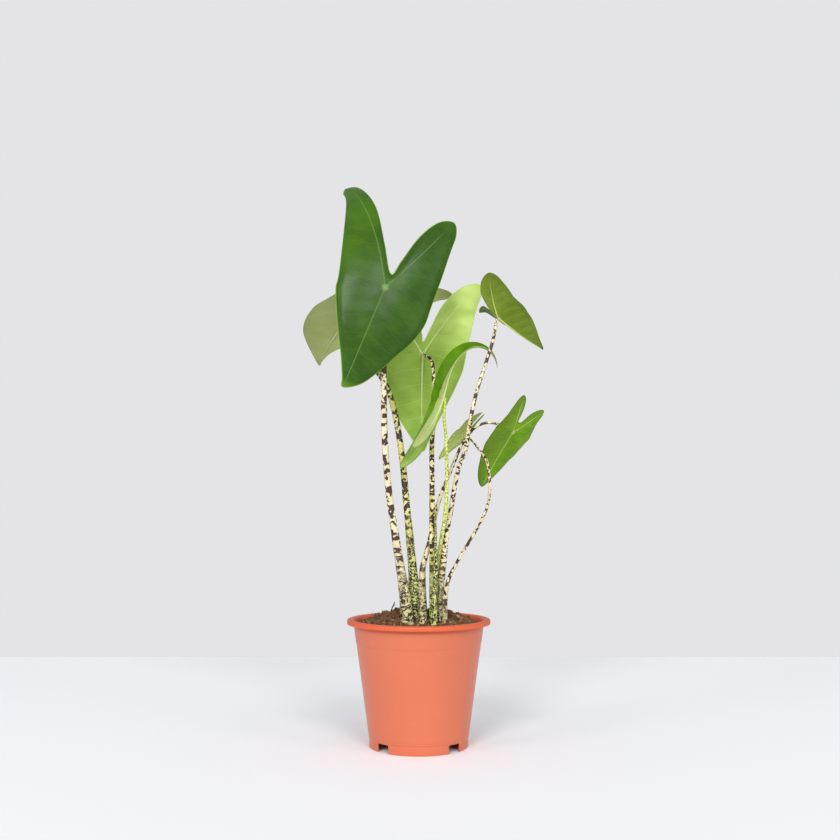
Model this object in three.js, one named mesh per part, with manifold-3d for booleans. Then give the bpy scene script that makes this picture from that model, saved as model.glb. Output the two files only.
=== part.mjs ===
// Potted alocasia, a zebra-stemmed elephant's ear in a moulded nursery pot.
// Millimetres, +Z up. Sizes and places below are measured from the foot of the pot's axis.
import * as THREE from 'three';
import { mergeVertices } from 'three/addons/utils/BufferGeometryUtils.js';
import Module from 'manifold-3d';

const wasm = await Module();
wasm.setup();

// ---------------------------------------------------------------- driving dimensions

const POT_HEIGHT = 148;
const RIM_RADIUS = 85;
const LIP_HEIGHT = 5.5;
const LIP_WIDTH = 7.5;
const WALL = 1.5;
const FOOT_RADIUS = 58.3;
const FOOT_HEIGHT = 14;
const BODY_STEP = 0.9;
const LIP_SKIRT = 1.5;
const BAND_HEIGHT = 120;
const BAND_STEP = 0.4;
const FLOOR_HEIGHT = 10.5;
const FEET_NOTCHES = 4;
const NOTCH_WIDTH = 17.5;
const NOTCH_HEIGHT = 10;
const POT_SIDES = 48;
const DRAIN_RADIUS = 4.5;
const DRAIN_RINGS = [[1, 0], [4, 20], [8, 42]];
const DRAIN_SIDES = 12;

const SOIL_SIDES = 32;
const SOIL_EDGE = 137;
const SOIL_CROWN = 155;
const SOIL_HOLLOW = { at: [5, -12], spread: [32, 26], depth: 14 };
const FIT_GAP = 0.3;
const SOCKET_GAP = 0.45;

const BLADE_THICKNESS = 1.1;
const BLADE_STEPS = 2;
const BLADE_RINGS = [0.5, 1];
const BEND_SLICES = 16;
const STEM_SIDES = 8;
const SWELLING = 0.4;
const BLADE_CLEARANCE = 1.6;

// ---------------------------------------------------------------- the seven leaves
// route: the petiole's way up from the soil. radii: its radius at the foot, in the middle and
// at the top. blade: see bladeOutline and bendBlade. In each pair, the first number is for the
// half on the blade's own right, seen from its upper side with the tip ahead.

const LEAVES = {
  broad_front: {
    route: [[-11, -8, 117], [-16.5, -9, 176], [-21.5, -10, 207], [-28, -14, 249], [-35, -18, 296],
      [-40, -25, 359], [-41, -31, 401], [-41, -38, 442], [-40, -44, 487]],
    radii: [9, 4, 3.1],
    blade: { size: 127, lobes: [1.54, 1.01], splay: [28, 26], hook: [0.12, -0.07], width: [0.47, 0.49],
      tipFullness: [-0.13, 0.52], lobeWidth: [0.91, 1.2], blunt: [1, 1.8],
      sinus: 0.154, fold: [3, 6], curl: [30, 30],
      twist: [2, 8], bend: [19, 22], bendPower: 1.3, sweep: 0, face: [202, -67, -78],
      junction: [-39, -58, 535] },
  },
  sage_back: {
    route: [[-6, 6, 117], [-6, 6, 184], [-10, 8, 235], [-15, 10, 286], [-20, 14, 339],
      [-27, 18, 384], [-35, 21, 416], [-43, 24, 434], [-56, 34, 455], [-70, 66, 492]],
    radii: [8, 4, 3],
    blade: { size: 97, lobes: [1.41, 0.82], splay: [15, 31], hook: [0.14, 0.02], width: [0.52, 0.57],
      tipFullness: [-0.7, 1.3], lobeWidth: [1.1, 1.38], blunt: [1, 1],
      sinus: 0.13, fold: [2, -3], curl: [22, 28],
      twist: [7, -3], bend: [-1, 13], bendPower: 1.3, sweep: 14, face: [144, -30, 33],
      junction: [-84, 100, 529] },
  },
  light_middle: {
    route: [[18, 0, 117], [17, 0, 197], [16, -1, 261], [16, -2, 296], [16, -3, 360],
      [19, -3, 390], [18, 0, 435], [15, 10, 458]],
    radii: [6.5, 3.4, 2.1],
    blade: { size: 120, lobes: [0.93, 0.64], splay: [29, 34], hook: [0.13, 0], width: [0.455, 0.46],
      tipFullness: [-0.07, 0.41], lobeWidth: [1.16, 1.45], blunt: [1.3, 1.3],
      sinus: 0.138, fold: [3, 3], curl: [21, 12],
      twist: [0, 2], bend: [12, 14], bendPower: 1.3, sweep: 3, face: [121, -85, 34],
      junction: [5, 34, 468] },
  },
  young_folded: {
    route: [[22, 10, 117], [21.5, 9, 181], [23, 7, 205], [25, 4, 227], [27.5, -2, 245],
      [31, -10, 267], [33, -15, 301], [33, -19, 338], [32, -20, 364], [30, -20, 389]],
    radii: [4.5, 2.6, 1.6],
    blade: { size: 128, lobes: [0.65, 0.79], splay: [10, 6], hook: [0.1, 0], width: [0.11, 0.13],
      tipFullness: [0.4, 0.2], lobeWidth: [0.5, 0.5], blunt: [1, 1],
      sinus: 0.12, fold: [60, 30], curl: [10, 10],
      twist: [-70, 0], bend: [162, -38], bendPower: 2.1, sweep: 0, face: [32, 75, 0],
      junction: [29, -20, 409] },
  },
  olive_right: {
    route: [[27, 2, 117], [26, 3, 182], [29, 3, 209], [33.5, 3, 250], [38, 1, 274], [41, -2, 293],
      [48, -5, 328], [56, -7, 349], [60, -8, 374], [68, -7, 413], [80, -5, 451], [89, -3, 479]],
    radii: [6, 3, 1.9],
    blade: { size: 67, lobes: [0.87, 1.02], splay: [31, 50], hook: [0.13, 0.44], width: [0.55, 0.6],
      tipFullness: [0.5, 0.36], lobeWidth: [1.82, 0.75], blunt: [1.2, 1.2],
      sinus: 0.227, fold: [15, 53], curl: [14, 11],
      twist: [-14, 3], bend: [-5, -19], bendPower: 1.3, sweep: 5, face: [11, -39, -34],
      junction: [96, 0, 509] },
  },
  small_right: {
    route: [[6, 2, 117], [4, 4, 181], [5, 6, 209], [9, 8, 224], [14, 10, 243], [22, 12, 279],
      [28, 12, 298], [37, 10, 320], [44, 7, 337], [50, 4, 351], [59, 1, 366], [70, -3, 377],
      [83, -5, 381], [95, -6, 379]],
    radii: [8, 2.9, 1.3],
    blade: { size: 84, lobes: [0.67, 0.57], splay: [23, 33], hook: [0.02, 0.18], width: [0.38, 0.41],
      tipFullness: [0.74, -0.12], lobeWidth: [0.92, 1.02], blunt: [1.6, 1.6],
      sinus: 0.175, fold: [8, 6], curl: [8, 23],
      twist: [-6, -10], bend: [6, 6], bendPower: 1.3, sweep: -7, face: [141, -51, -169],
      junction: [112, -12, 369] },
  },
  narrow_low: {
    route: [[32, -6, 117], [31, -7, 165], [33, -8, 185], [36, -10, 197], [45, -15, 215],
      [57, -22, 236], [70, -30, 259], [80, -38, 282], [82, -46, 300], [82, -49, 312],
      [81, -47, 322], [80, -40, 332], [77, -30, 340], [72, -16, 348], [67, 0, 356], [63, 14, 362]],
    radii: [4, 1.9, 1.2],
    blade: { size: 45, lobes: [0.75, 1.04], splay: [23, 32], hook: [-0.02, 0.07], width: [0.55, 0.4],
      tipFullness: [0.04, 0.35], lobeWidth: [0.93, 1.24], blunt: [1.6, 1.6],
      sinus: 0.144, fold: [25, 19], curl: [20, 20],
      twist: [-8, -22], bend: [4, 14], bendPower: 1.3, sweep: -7, face: [163, -45, 13],
      junction: [57, 30, 370] },
  },
};

// A sheath, the papery base left by an older leaf, stands between the right-hand stems.
const SHEATH = {
  route: [[17, -9, 117], [18.5, -10, 165], [20, -10.5, 205], [20, -10.5, 245], [19.5, -9, 278]],
  radii: [5.5, 3.2, 0.8],
};

const RHIZOMES = {
  rhizome_left: { centre: [-6, 0, 112], size: [16, 12, 18],
    roots: [[-34, -12, 60], [-18, 26, 42], [12, -30, 52], [-6, 4, 30], [-44, 18, 84]] },
  rhizome_right: { centre: [25, 1, 112], size: [14, 12, 18],
    roots: [[46, -16, 64], [30, 30, 50], [34, -26, 34], [52, 18, 88], [22, 10, 26]] },
};
const ROOT_RADIUS = 2.6;

const CHIPS = {
  bark_chip_large: { at: [48, 4], lift: 1, radius: 5.5, height: 3.6, tilt: 35 },
  bark_chip_small: { at: [39, -20], lift: 0.8, radius: 4, height: 3, tilt: 20 },
};
const TWIGS = {
  twig_long: { from: [-34, 17], to: [-29, 23], lifts: [0.2, 11], radius: 0.8 },
  twig_short: { from: [-56, 20], to: [-47, 10], lifts: [0.3, 3], radius: 0.8 },
};
const TWIG_BOW = 0.6;

const COLOURS = {
  pot: 0xf08a66, soil: 0x4a2f22, rhizome: 0x8a6848, chip: 0xc79a6b, twig: 0x3a2a20, stem: 0xcfc08c,
  broad_front: 0x2f6b2a, sage_back: 0x9bab69, light_middle: 0x8cb44b, young_folded: 0x6fae2a,
  olive_right: 0x7a9138, small_right: 0x5c9a26, narrow_low: 0x82964a, sheath: 0x6d6a34,
};

// ---------------------------------------------------------------- solids and booleans

const radians = THREE.MathUtils.degToRad;

function material(colour, roughness = 0.6) {
  return new THREE.MeshStandardMaterial({ color: colour, roughness, metalness: 0, side: THREE.DoubleSide });
}

function closedGeometry(positions, triangles) {
  const geometry = new THREE.BufferGeometry();
  geometry.setAttribute('position', new THREE.Float32BufferAttribute(positions, 3));
  geometry.setIndex(triangles);
  return geometry;
}

function toManifold(geometry) {
  const bare = geometry.clone();
  bare.deleteAttribute('normal');
  bare.deleteAttribute('uv');
  const merged = mergeVertices(bare, 1e-4);
  return new wasm.Manifold(new wasm.Mesh({
    numProp: 3,
    vertProperties: new Float32Array(merged.attributes.position.array),
    triVerts: new Uint32Array(merged.index.array),
  }));
}

function fromManifold(solid) {
  const mesh = solid.getMesh();
  return closedGeometry(Array.from(mesh.vertProperties), Array.from(mesh.triVerts));
}

function addMesh(group, name, geometry, colour, roughness) {
  const mesh = new THREE.Mesh(geometry, material(colour, roughness));
  mesh.name = name;
  group.add(mesh);
  return mesh;
}

// ---------------------------------------------------------------- tubes along a route

// A stem swells towards its foot over the lower part of its length, and tapers slowly above that.
function stemRadius(radii, along) {
  const [foot, middle, top] = radii;
  return along < SWELLING
    ? middle + (foot - middle) * (1 - along / SWELLING) ** 1.5
    : THREE.MathUtils.lerp(middle, top, (along - SWELLING) / (1 - SWELLING));
}

function taperedTube(route, radii, extra = 0, spacing = 16) {
  const curve = new THREE.CatmullRomCurve3(route.map((p) => new THREE.Vector3(...p)), false, 'centripetal');
  const steps = Math.max(4, Math.round(curve.getLength() / spacing));
  const frames = curve.computeFrenetFrames(steps, false);
  const positions = [];
  const triangles = [];
  for (let i = 0; i <= steps; i += 1) {
    const centre = curve.getPointAt(i / steps);
    const radius = stemRadius(radii, i / steps) + extra;
    for (let j = 0; j < STEM_SIDES; j += 1) {
      const angle = j / STEM_SIDES * 2 * Math.PI;
      const point = centre.clone()
        .addScaledVector(frames.normals[i], radius * Math.cos(angle))
        .addScaledVector(frames.binormals[i], radius * Math.sin(angle));
      positions.push(point.x, point.y, point.z);
    }
  }
  for (let i = 0; i < steps; i += 1) {
    for (let j = 0; j < STEM_SIDES; j += 1) {
      const a = i * STEM_SIDES + j;
      const b = i * STEM_SIDES + (j + 1) % STEM_SIDES;
      triangles.push(a, b, a + STEM_SIDES, b, b + STEM_SIDES, a + STEM_SIDES);
    }
  }
  const foot = positions.length / 3;
  positions.push(...curve.getPoint(0).toArray(), ...curve.getPoint(1).toArray());
  const top = steps * STEM_SIDES;
  for (let j = 0; j < STEM_SIDES; j += 1) {
    const next = (j + 1) % STEM_SIDES;
    triangles.push(foot, next, j, foot + 1, top + j, top + next);
  }
  return closedGeometry(positions, triangles);
}

// ---------------------------------------------------------------- leaf blades

// Half of the flat outline, in units of the blade's size: from the sinus down one lobe, round
// its tip, up its outer margin and along to the leaf tip at (0, 1). The petiole joins at (0, 0).
function halfOutline(blade, half) {
  const splay = radians(blade.splay[half]);
  const axis = [Math.sin(splay), -Math.cos(splay)];
  const outward = [Math.cos(splay), Math.sin(splay)];
  const length = blade.lobes[half];
  const lobePoint = (along, across) => {
    const bow = length * blade.hook[half] * along * along + across * blade.lobeWidth[half];
    return [length * along * axis[0] + bow * outward[0], length * along * axis[1] + bow * outward[1]];
  };
  const blunt = blade.blunt[half];
  const margin = [[1, -0.02], [0.93, 0.17], [0.76, 0.36], [0.55, 0.55],
    [0.31 * (0.75 + 0.25 * blunt), 0.74], [0.11 * blunt, 0.91], [0, 1]]
    .map(([x, y]) => [x * blade.width[half] * (1 + blade.tipFullness[half] * Math.max(y, 0)), y]);
  return [[0, -blade.sinus], lobePoint(0.3, -0.075), lobePoint(0.6, -0.115), lobePoint(0.86, -0.09),
    lobePoint(1, 0), lobePoint(0.93, 0.085), lobePoint(0.72, 0.16), ...margin];
}

function catmullRom(p, t) {
  return [0, 1].map((k) => 0.5 * (2 * p[1][k] + (p[2][k] - p[0][k]) * t
    + (2 * p[0][k] - 5 * p[1][k] + 4 * p[2][k] - p[3][k]) * t * t
    + (3 * p[1][k] - p[0][k] - 3 * p[2][k] + p[3][k]) * t * t * t));
}

function bladeOutline(blade) {
  const right = halfOutline(blade, 0);
  const left = halfOutline(blade, 1).map(([x, y]) => [-x, y]).reverse().slice(1, -1);
  const corners = [...right, ...left];
  const count = corners.length;
  const outline = [];
  corners.forEach((_, i) => {
    const near = [-1, 0, 1, 2].map((d) => corners[(i + d + count) % count]);
    for (let s = 0; s < BLADE_STEPS; s += 1) {
      outline.push(catmullRom(near, s / BLADE_STEPS).map((v) => v * blade.size));
    }
  });
  return outline;
}

// A line of length distance whose heading falls by turn x (distance / size) ^ power.
function bentLine(distance, turn, power, size) {
  let along = 0;
  let drop = 0;
  for (let i = 0; i < BEND_SLICES; i += 1) {
    const heading = turn * ((distance * (i + 0.5) / BEND_SLICES) / size) ** power;
    along += Math.cos(heading) * distance / BEND_SLICES;
    drop += Math.sin(heading) * distance / BEND_SLICES;
  }
  return { along, drop, heading: turn * (distance / size) ** power };
}

// Takes a point of the flat blade, lifted by height, to the folded, curled, twisted and bent one.
function bendBlade(blade, [x, y], height) {
  const half = x > 0 ? 0 : 1;
  const ahead = y > 0 ? 0 : 1;
  const fold = radians(blade.fold[half]);
  const curl = radians(blade.curl[half]) / (0.5 * blade.size);
  const slope = fold - curl * Math.abs(x);
  const across = Math.sign(x) * ((Math.sin(fold) - Math.sin(slope)) / curl - height * Math.sin(slope));
  const rise = (Math.cos(slope) - Math.cos(fold)) / curl + height * Math.cos(slope);
  const twist = radians(blade.twist[ahead]) * y / blade.size;
  const turned = across * Math.cos(twist) - rise * Math.sin(twist);
  const lifted = across * Math.sin(twist) + rise * Math.cos(twist);
  const line = bentLine(Math.abs(y), radians(blade.bend[ahead]), ahead ? 1 : blade.bendPower, blade.size);
  const forward = Math.max(y, 0);
  return [
    turned + forward * Math.tan(radians(blade.sweep)) * forward / blade.size,
    Math.sign(y) * (line.along + lifted * Math.sin(line.heading)),
    lifted * Math.cos(line.heading) - line.drop,
  ];
}

// The blade's own axes: across to the right, ahead to the tip, and out of the upper side.
function bladeAxes(blade) {
  const [heading, elevation, roll] = blade.face.map(radians);
  const ahead = new THREE.Vector3(Math.cos(elevation) * Math.cos(heading),
    Math.cos(elevation) * Math.sin(heading), Math.sin(elevation));
  const steepest = new THREE.Vector3(-Math.sin(elevation) * Math.cos(heading),
    -Math.sin(elevation) * Math.sin(heading), Math.cos(elevation));
  const level = new THREE.Vector3().crossVectors(ahead, steepest);
  const upper = steepest.multiplyScalar(Math.cos(roll)).addScaledVector(level, Math.sin(roll));
  const right = new THREE.Vector3().crossVectors(ahead, upper);
  return { right, ahead, upper };
}

function bladeGeometry(blade) {
  const outline = bladeOutline(blade);
  const count = outline.length;
  const { right, ahead, upper } = bladeAxes(blade);
  const positions = [];
  const place = (flat, height) => {
    const [a, b, c] = bendBlade(blade, flat, height);
    const point = new THREE.Vector3(...blade.junction)
      .addScaledVector(right, a).addScaledVector(ahead, b).addScaledVector(upper, c);
    positions.push(point.x, point.y, point.z);
  };
  for (const height of [BLADE_THICKNESS / 2, -BLADE_THICKNESS / 2]) {
    place([0, 0], height);
    BLADE_RINGS.forEach((ring) => outline.forEach(([x, y]) => place([x * ring, y * ring], height)));
  }
  const layer = 1 + BLADE_RINGS.length * count;
  const triangles = [];
  const add = (a, b, c) => {
    triangles.push(a, b, c);
    triangles.push(layer + a, layer + c, layer + b);
  };
  for (let j = 0; j < count; j += 1) {
    const next = (j + 1) % count;
    add(0, 1 + j, 1 + next);
    for (let r = 1; r < BLADE_RINGS.length; r += 1) {
      const inner = 1 + (r - 1) * count;
      const outer = 1 + r * count;
      add(inner + j, outer + j, outer + next);
      add(inner + j, outer + next, inner + next);
    }
    const rim = 1 + (BLADE_RINGS.length - 1) * count;
    triangles.push(rim + j, layer + rim + j, layer + rim + next);
    triangles.push(rim + j, layer + rim + next, rim + next);
  }
  return closedGeometry(positions, triangles);
}

function petioleRoute(leaf) {
  const { upper } = bladeAxes(leaf.blade);
  const end = new THREE.Vector3(...leaf.blade.junction)
    .addScaledVector(upper, -(BLADE_CLEARANCE + leaf.radii[2]));
  return [...leaf.route, end.toArray()];
}

// ---------------------------------------------------------------- pot

const bodyFoot = FOOT_RADIUS + BODY_STEP;
const bodyTop = RIM_RADIUS - LIP_WIDTH;
const underLip = POT_HEIGHT - LIP_HEIGHT;

// The outside radius of the tapering body at a height.
function bodyAt(z) {
  return THREE.MathUtils.mapLinear(z, FOOT_HEIGHT, underLip, bodyFoot, bodyTop);
}

function potGeometry() {
  const profile = [
    [0, FLOOR_HEIGHT], [FOOT_RADIUS - WALL, FLOOR_HEIGHT], [FOOT_RADIUS - WALL, 0], [FOOT_RADIUS, 0],
    [FOOT_RADIUS, FOOT_HEIGHT - 3], [FOOT_RADIUS + 0.6, FOOT_HEIGHT - 2.6],
    [FOOT_RADIUS + 0.6, FOOT_HEIGHT - 0.6], [bodyFoot, FOOT_HEIGHT],
    [bodyAt(BAND_HEIGHT) - BAND_STEP, BAND_HEIGHT], [bodyAt(BAND_HEIGHT), BAND_HEIGHT + 0.6],
    [bodyTop, underLip + 2.4], [RIM_RADIUS - LIP_SKIRT, underLip + 2.9], [RIM_RADIUS - LIP_SKIRT, underLip],
    [RIM_RADIUS, underLip], [RIM_RADIUS, POT_HEIGHT - 1.6], [RIM_RADIUS - 0.7, POT_HEIGHT - 0.4],
    [RIM_RADIUS - 1.8, POT_HEIGHT], [bodyTop + 0.5, POT_HEIGHT], [bodyTop - 0.7, POT_HEIGHT - 0.8],
    [bodyTop - WALL, POT_HEIGHT - 3], [bodyAt(BAND_HEIGHT) - WALL, BAND_HEIGHT],
    [bodyFoot - WALL, FOOT_HEIGHT + 1], [bodyFoot - WALL - 1.5, FLOOR_HEIGHT + WALL],
    [0, FLOOR_HEIGHT + WALL],
  ];
  const shell = new THREE.LatheGeometry(profile.map(([r, z]) => new THREE.Vector2(r, z)), POT_SIDES)
    .rotateX(Math.PI / 2);
  let pot = toManifold(shell);
  const notch = new THREE.BoxGeometry(20, NOTCH_WIDTH, 2 * NOTCH_HEIGHT);
  for (let i = 0; i < FEET_NOTCHES; i += 1) {
    const cut = notch.clone().translate(FOOT_RADIUS, 0, 0).rotateZ((i + 0.5) * 2 * Math.PI / FEET_NOTCHES);
    pot = pot.subtract(toManifold(cut));
  }
  DRAIN_RINGS.forEach(([holes, ring]) => {
    for (let i = 0; i < holes; i += 1) {
      const hole = new THREE.CylinderGeometry(DRAIN_RADIUS, DRAIN_RADIUS, 4 * WALL + 2, DRAIN_SIDES)
        .rotateX(Math.PI / 2).translate(ring, 0, FLOOR_HEIGHT).rotateZ(i * 2 * Math.PI / holes);
      pot = pot.subtract(toManifold(hole));
    }
  });
  return fromManifold(pot);
}

// ---------------------------------------------------------------- soil and what is in it

// The peat is heaped at the sides and back, and lies lower in front of the stems.
function soilSurface(x, y) {
  const reach = Math.min(1, Math.hypot(x, y) / bodyTop);
  const mound = (SOIL_CROWN - SOIL_EDGE) * (1 - reach ** 2.2);
  const backRise = 4 * Math.tanh(y / 20) * (1 - reach ** 6);
  const lumps = 1.2 * Math.sin(x / 9 + 1) * Math.cos(y / 8 - 0.6) * (1 - reach ** 8);
  const [across, ahead] = [x, y].map((v, k) => (v - SOIL_HOLLOW.at[k]) / SOIL_HOLLOW.spread[k]);
  const hollow = SOIL_HOLLOW.depth * Math.exp(-across * across - ahead * ahead);
  return SOIL_EDGE + mound + backRise + lumps - hollow;
}

function soilMound() {
  const wallAt = (z) => bodyAt(z) - WALL - 2 * FIT_GAP;
  const floor = FLOOR_HEIGHT + WALL + FIT_GAP;
  const profile = [[0, floor], [wallAt(floor) - 2.4, floor], [wallAt(FOOT_HEIGHT + 2), FOOT_HEIGHT + 2],
    [wallAt(75), 75], [wallAt(SOIL_EDGE), SOIL_EDGE], [66, SOIL_EDGE], [52, SOIL_EDGE], [38, SOIL_EDGE],
    [24, SOIL_EDGE], [11, SOIL_EDGE], [0, SOIL_EDGE]];
  const mound = new THREE.LatheGeometry(profile.map(([r, z]) => new THREE.Vector2(r, z)), SOIL_SIDES)
    .rotateX(Math.PI / 2);
  const position = mound.attributes.position;
  for (let i = 0; i < position.count; i += 1) {
    if (position.getZ(i) > SOIL_EDGE - 1) {
      position.setZ(i, soilSurface(position.getX(i), position.getY(i)));
    }
  }
  return toManifold(mound);
}

function rhizomeSolid({ centre, size, roots }, extra = 0) {
  const body = new THREE.SphereGeometry(1, 12, 8)
    .scale(...size.map((half) => half + extra)).rotateX(Math.PI / 2).translate(...centre);
  let solid = toManifold(body);
  roots.forEach((tip) => {
    const middle = [0, 1, 2].map((k) => (centre[k] * 0.35 + tip[k] * 0.65) + (k < 2 ? tip[k] * 0.18 : 10));
    const radii = [ROOT_RADIUS + 1, ROOT_RADIUS, ROOT_RADIUS * 0.5];
    const root = taperedTube([centre, middle, tip], radii, extra, 16);
    solid = solid.add(toManifold(root));
  });
  return solid;
}

function chipGeometry({ at, lift, radius, height, tilt }, grow = 1) {
  const lump = [[0, -0.5], [0.6, -0.5], [1, -0.1], [0.95, 0.35], [0.6, 0.5], [0, 0.5]];
  const profile = lump.map(([r, z]) => new THREE.Vector2(r * radius * grow, z * height * grow));
  return new THREE.LatheGeometry(profile, 12).rotateX(Math.PI / 2).rotateY(radians(tilt))
    .translate(...at, soilSurface(...at) + lift);
}

// ---------------------------------------------------------------- assembly

const plant = new THREE.Group();

addMesh(plant, 'nursery_pot', potGeometry(), COLOURS.pot, 0.45);

const stems = Object.entries(LEAVES).map(([name, leaf]) => ({
  name: `petiole_${name}`, route: petioleRoute(leaf), radii: leaf.radii,
}));
stems.push({ name: 'old_sheath', ...SHEATH });

let soil = soilMound();
let buried = null;
Object.entries(RHIZOMES).forEach(([name, rhizome]) => {
  const solid = buried ? rhizomeSolid(rhizome).subtract(buried) : rhizomeSolid(rhizome);
  addMesh(plant, name, fromManifold(solid), COLOURS.rhizome, 0.85);
  const socket = rhizomeSolid(rhizome, SOCKET_GAP);
  buried = buried ? buried.add(socket) : socket;
});

let taken = buried;
stems.forEach(({ name, route, radii }) => {
  let solid = toManifold(taperedTube(route, radii));
  solid = solid.subtract(taken);
  const socket = toManifold(taperedTube(route, radii, SOCKET_GAP));
  taken = taken.add(socket);
  addMesh(plant, name, fromManifold(solid), COLOURS.stem, 0.5);
});
soil = soil.subtract(taken);

Object.entries(LEAVES).forEach(([name, leaf]) => {
  addMesh(plant, `blade_${name}`, bladeGeometry(leaf.blade), COLOURS[name], 0.35);
});

Object.entries(CHIPS).forEach(([name, chip]) => {
  soil = soil.subtract(toManifold(chipGeometry(chip, 1.15)));
  addMesh(plant, name, chipGeometry(chip), COLOURS.chip, 0.9);
});
Object.entries(TWIGS).forEach(([name, { from, to, lifts, radius }]) => {
  const start = [...from, soilSurface(...from) + lifts[0]];
  const end = [...to, soilSurface(...to) + lifts[1]];
  const route = [start, start.map((v, k) => (v + end[k]) / 2 + (k === 2 ? TWIG_BOW : 0)), end];
  soil = soil.subtract(toManifold(taperedTube(route, [radius, radius, radius], SOCKET_GAP, 5)));
  addMesh(plant, name, taperedTube(route, [radius, radius, radius * 0.7], 0, 5), COLOURS.twig, 0.9);
});

addMesh(plant, 'soil', fromManifold(soil), COLOURS.soil, 0.95);

// The origin is on the floor, under the middle of the whole plant's footprint.
const middle = new THREE.Box3().setFromObject(plant).getCenter(new THREE.Vector3());
plant.position.set(-middle.x, -middle.y, 0);

export default plant;
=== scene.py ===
"""Looks for the potted alocasia: a zebra-stemmed elephant's ear in a moulded nursery pot.

The tables are in millimetres, measured from the foot of the pot's axis, as the CAD's are.
Everything that Blender gets is in metres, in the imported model's own frame.
"""
import math

import bpy
import numpy as np
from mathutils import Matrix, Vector


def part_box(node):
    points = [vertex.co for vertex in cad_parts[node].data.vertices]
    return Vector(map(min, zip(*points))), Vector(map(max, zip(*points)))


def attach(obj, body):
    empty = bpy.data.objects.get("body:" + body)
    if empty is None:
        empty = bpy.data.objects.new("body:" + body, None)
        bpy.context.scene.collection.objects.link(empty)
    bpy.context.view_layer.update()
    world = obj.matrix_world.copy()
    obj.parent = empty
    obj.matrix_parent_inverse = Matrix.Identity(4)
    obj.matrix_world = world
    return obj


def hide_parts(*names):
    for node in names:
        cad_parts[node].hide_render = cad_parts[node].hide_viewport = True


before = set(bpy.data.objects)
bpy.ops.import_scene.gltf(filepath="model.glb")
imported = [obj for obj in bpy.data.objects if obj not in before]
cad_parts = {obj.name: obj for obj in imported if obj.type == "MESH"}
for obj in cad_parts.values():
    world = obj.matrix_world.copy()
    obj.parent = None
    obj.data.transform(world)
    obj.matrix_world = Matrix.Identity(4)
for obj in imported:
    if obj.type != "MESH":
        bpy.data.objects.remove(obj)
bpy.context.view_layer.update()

MM = 0.001
pot_low, pot_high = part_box("nursery_pot")
AXIS = np.array([(pot_low.x + pot_high.x) / 2, (pot_low.y + pot_high.y) / 2, 0.0])
RANDOM = np.random.default_rng(2026)

# ---------------------------------------------------------------- driving dimensions, in mm

POT_HEIGHT = 148
RIM_RADIUS = 85
LIP_HEIGHT = 5.5
LIP_WIDTH = 7.5
LIP_SKIRT = 1.5
WALL = 1.5
POT_INSIDE = RIM_RADIUS - LIP_WIDTH - WALL
BODY_STEP = 0.9
FOOT_RADIUS = 58.3
FOOT_HEIGHT = 14
BAND_HEIGHT = 120
BAND_STEP = 0.4
FLOOR_HEIGHT = 10.5
FEET_NOTCHES = 4
NOTCH_WIDTH = 17.5
NOTCH_HEIGHT = 10
DRAIN_RADIUS = 4.5
DRAIN_RINGS = ((1, 0), (4, 20), (8, 42))
POT_SIDES = 192
POT_SHARP = 38

SOIL_EDGE = 137
SOIL_CROWN = 155
HOLLOW_AT = (5, -12)
HOLLOW_SPREAD = (32, 26)
HOLLOW_DEPTH = 14
SOIL_ROUGHNESS = 1.5
SOIL_WAIST = (66.3, 75)
SOIL_SIDES = 240
SOIL_RINGS = 76
CRUMBS = 3400
CRUMB_SHARP = 25
FIBRES = 260
FIBRE_POINTS = 8
FIBRE_REACH = 70
FIBRE_LIMIT = 73
FIBRE_SIDES = 5

STEM_SIDES = 24
STEM_SPACING = 2.2
SWELLING = 0.4
TWIG_BOW = 0.6
TWIG_SPACING = 0.5
TWIG_SIDES = (12, 8)
CHIP_SIDES = 48
JOIN_STEPS = 5
SKIN_RADIUS = 3.0
ROUTE_STEPS = 24
SURFACE_HALF = 0.35
OUTLINE_STEPS = 15
BLADE_RINGS = 54
BLADE_CLEARANCE = 1.6
BEND_SLICES = 16

RIB_POINTS = 60
RIB_SIDES = 12
RIB_SUNK = 0.2
RIB_ENDED = 40
COSTA_POINTS = 50
COSTA_LEAN = 0.55
COSTA_PHASE = 0.3
LATERAL_STEP = 0.17
LATERAL_LEAN = 0.22
LATERAL_CURVE = 0.35
MIRRORS = (np.array((1, 1)), np.array((-1, 1)))

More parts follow.
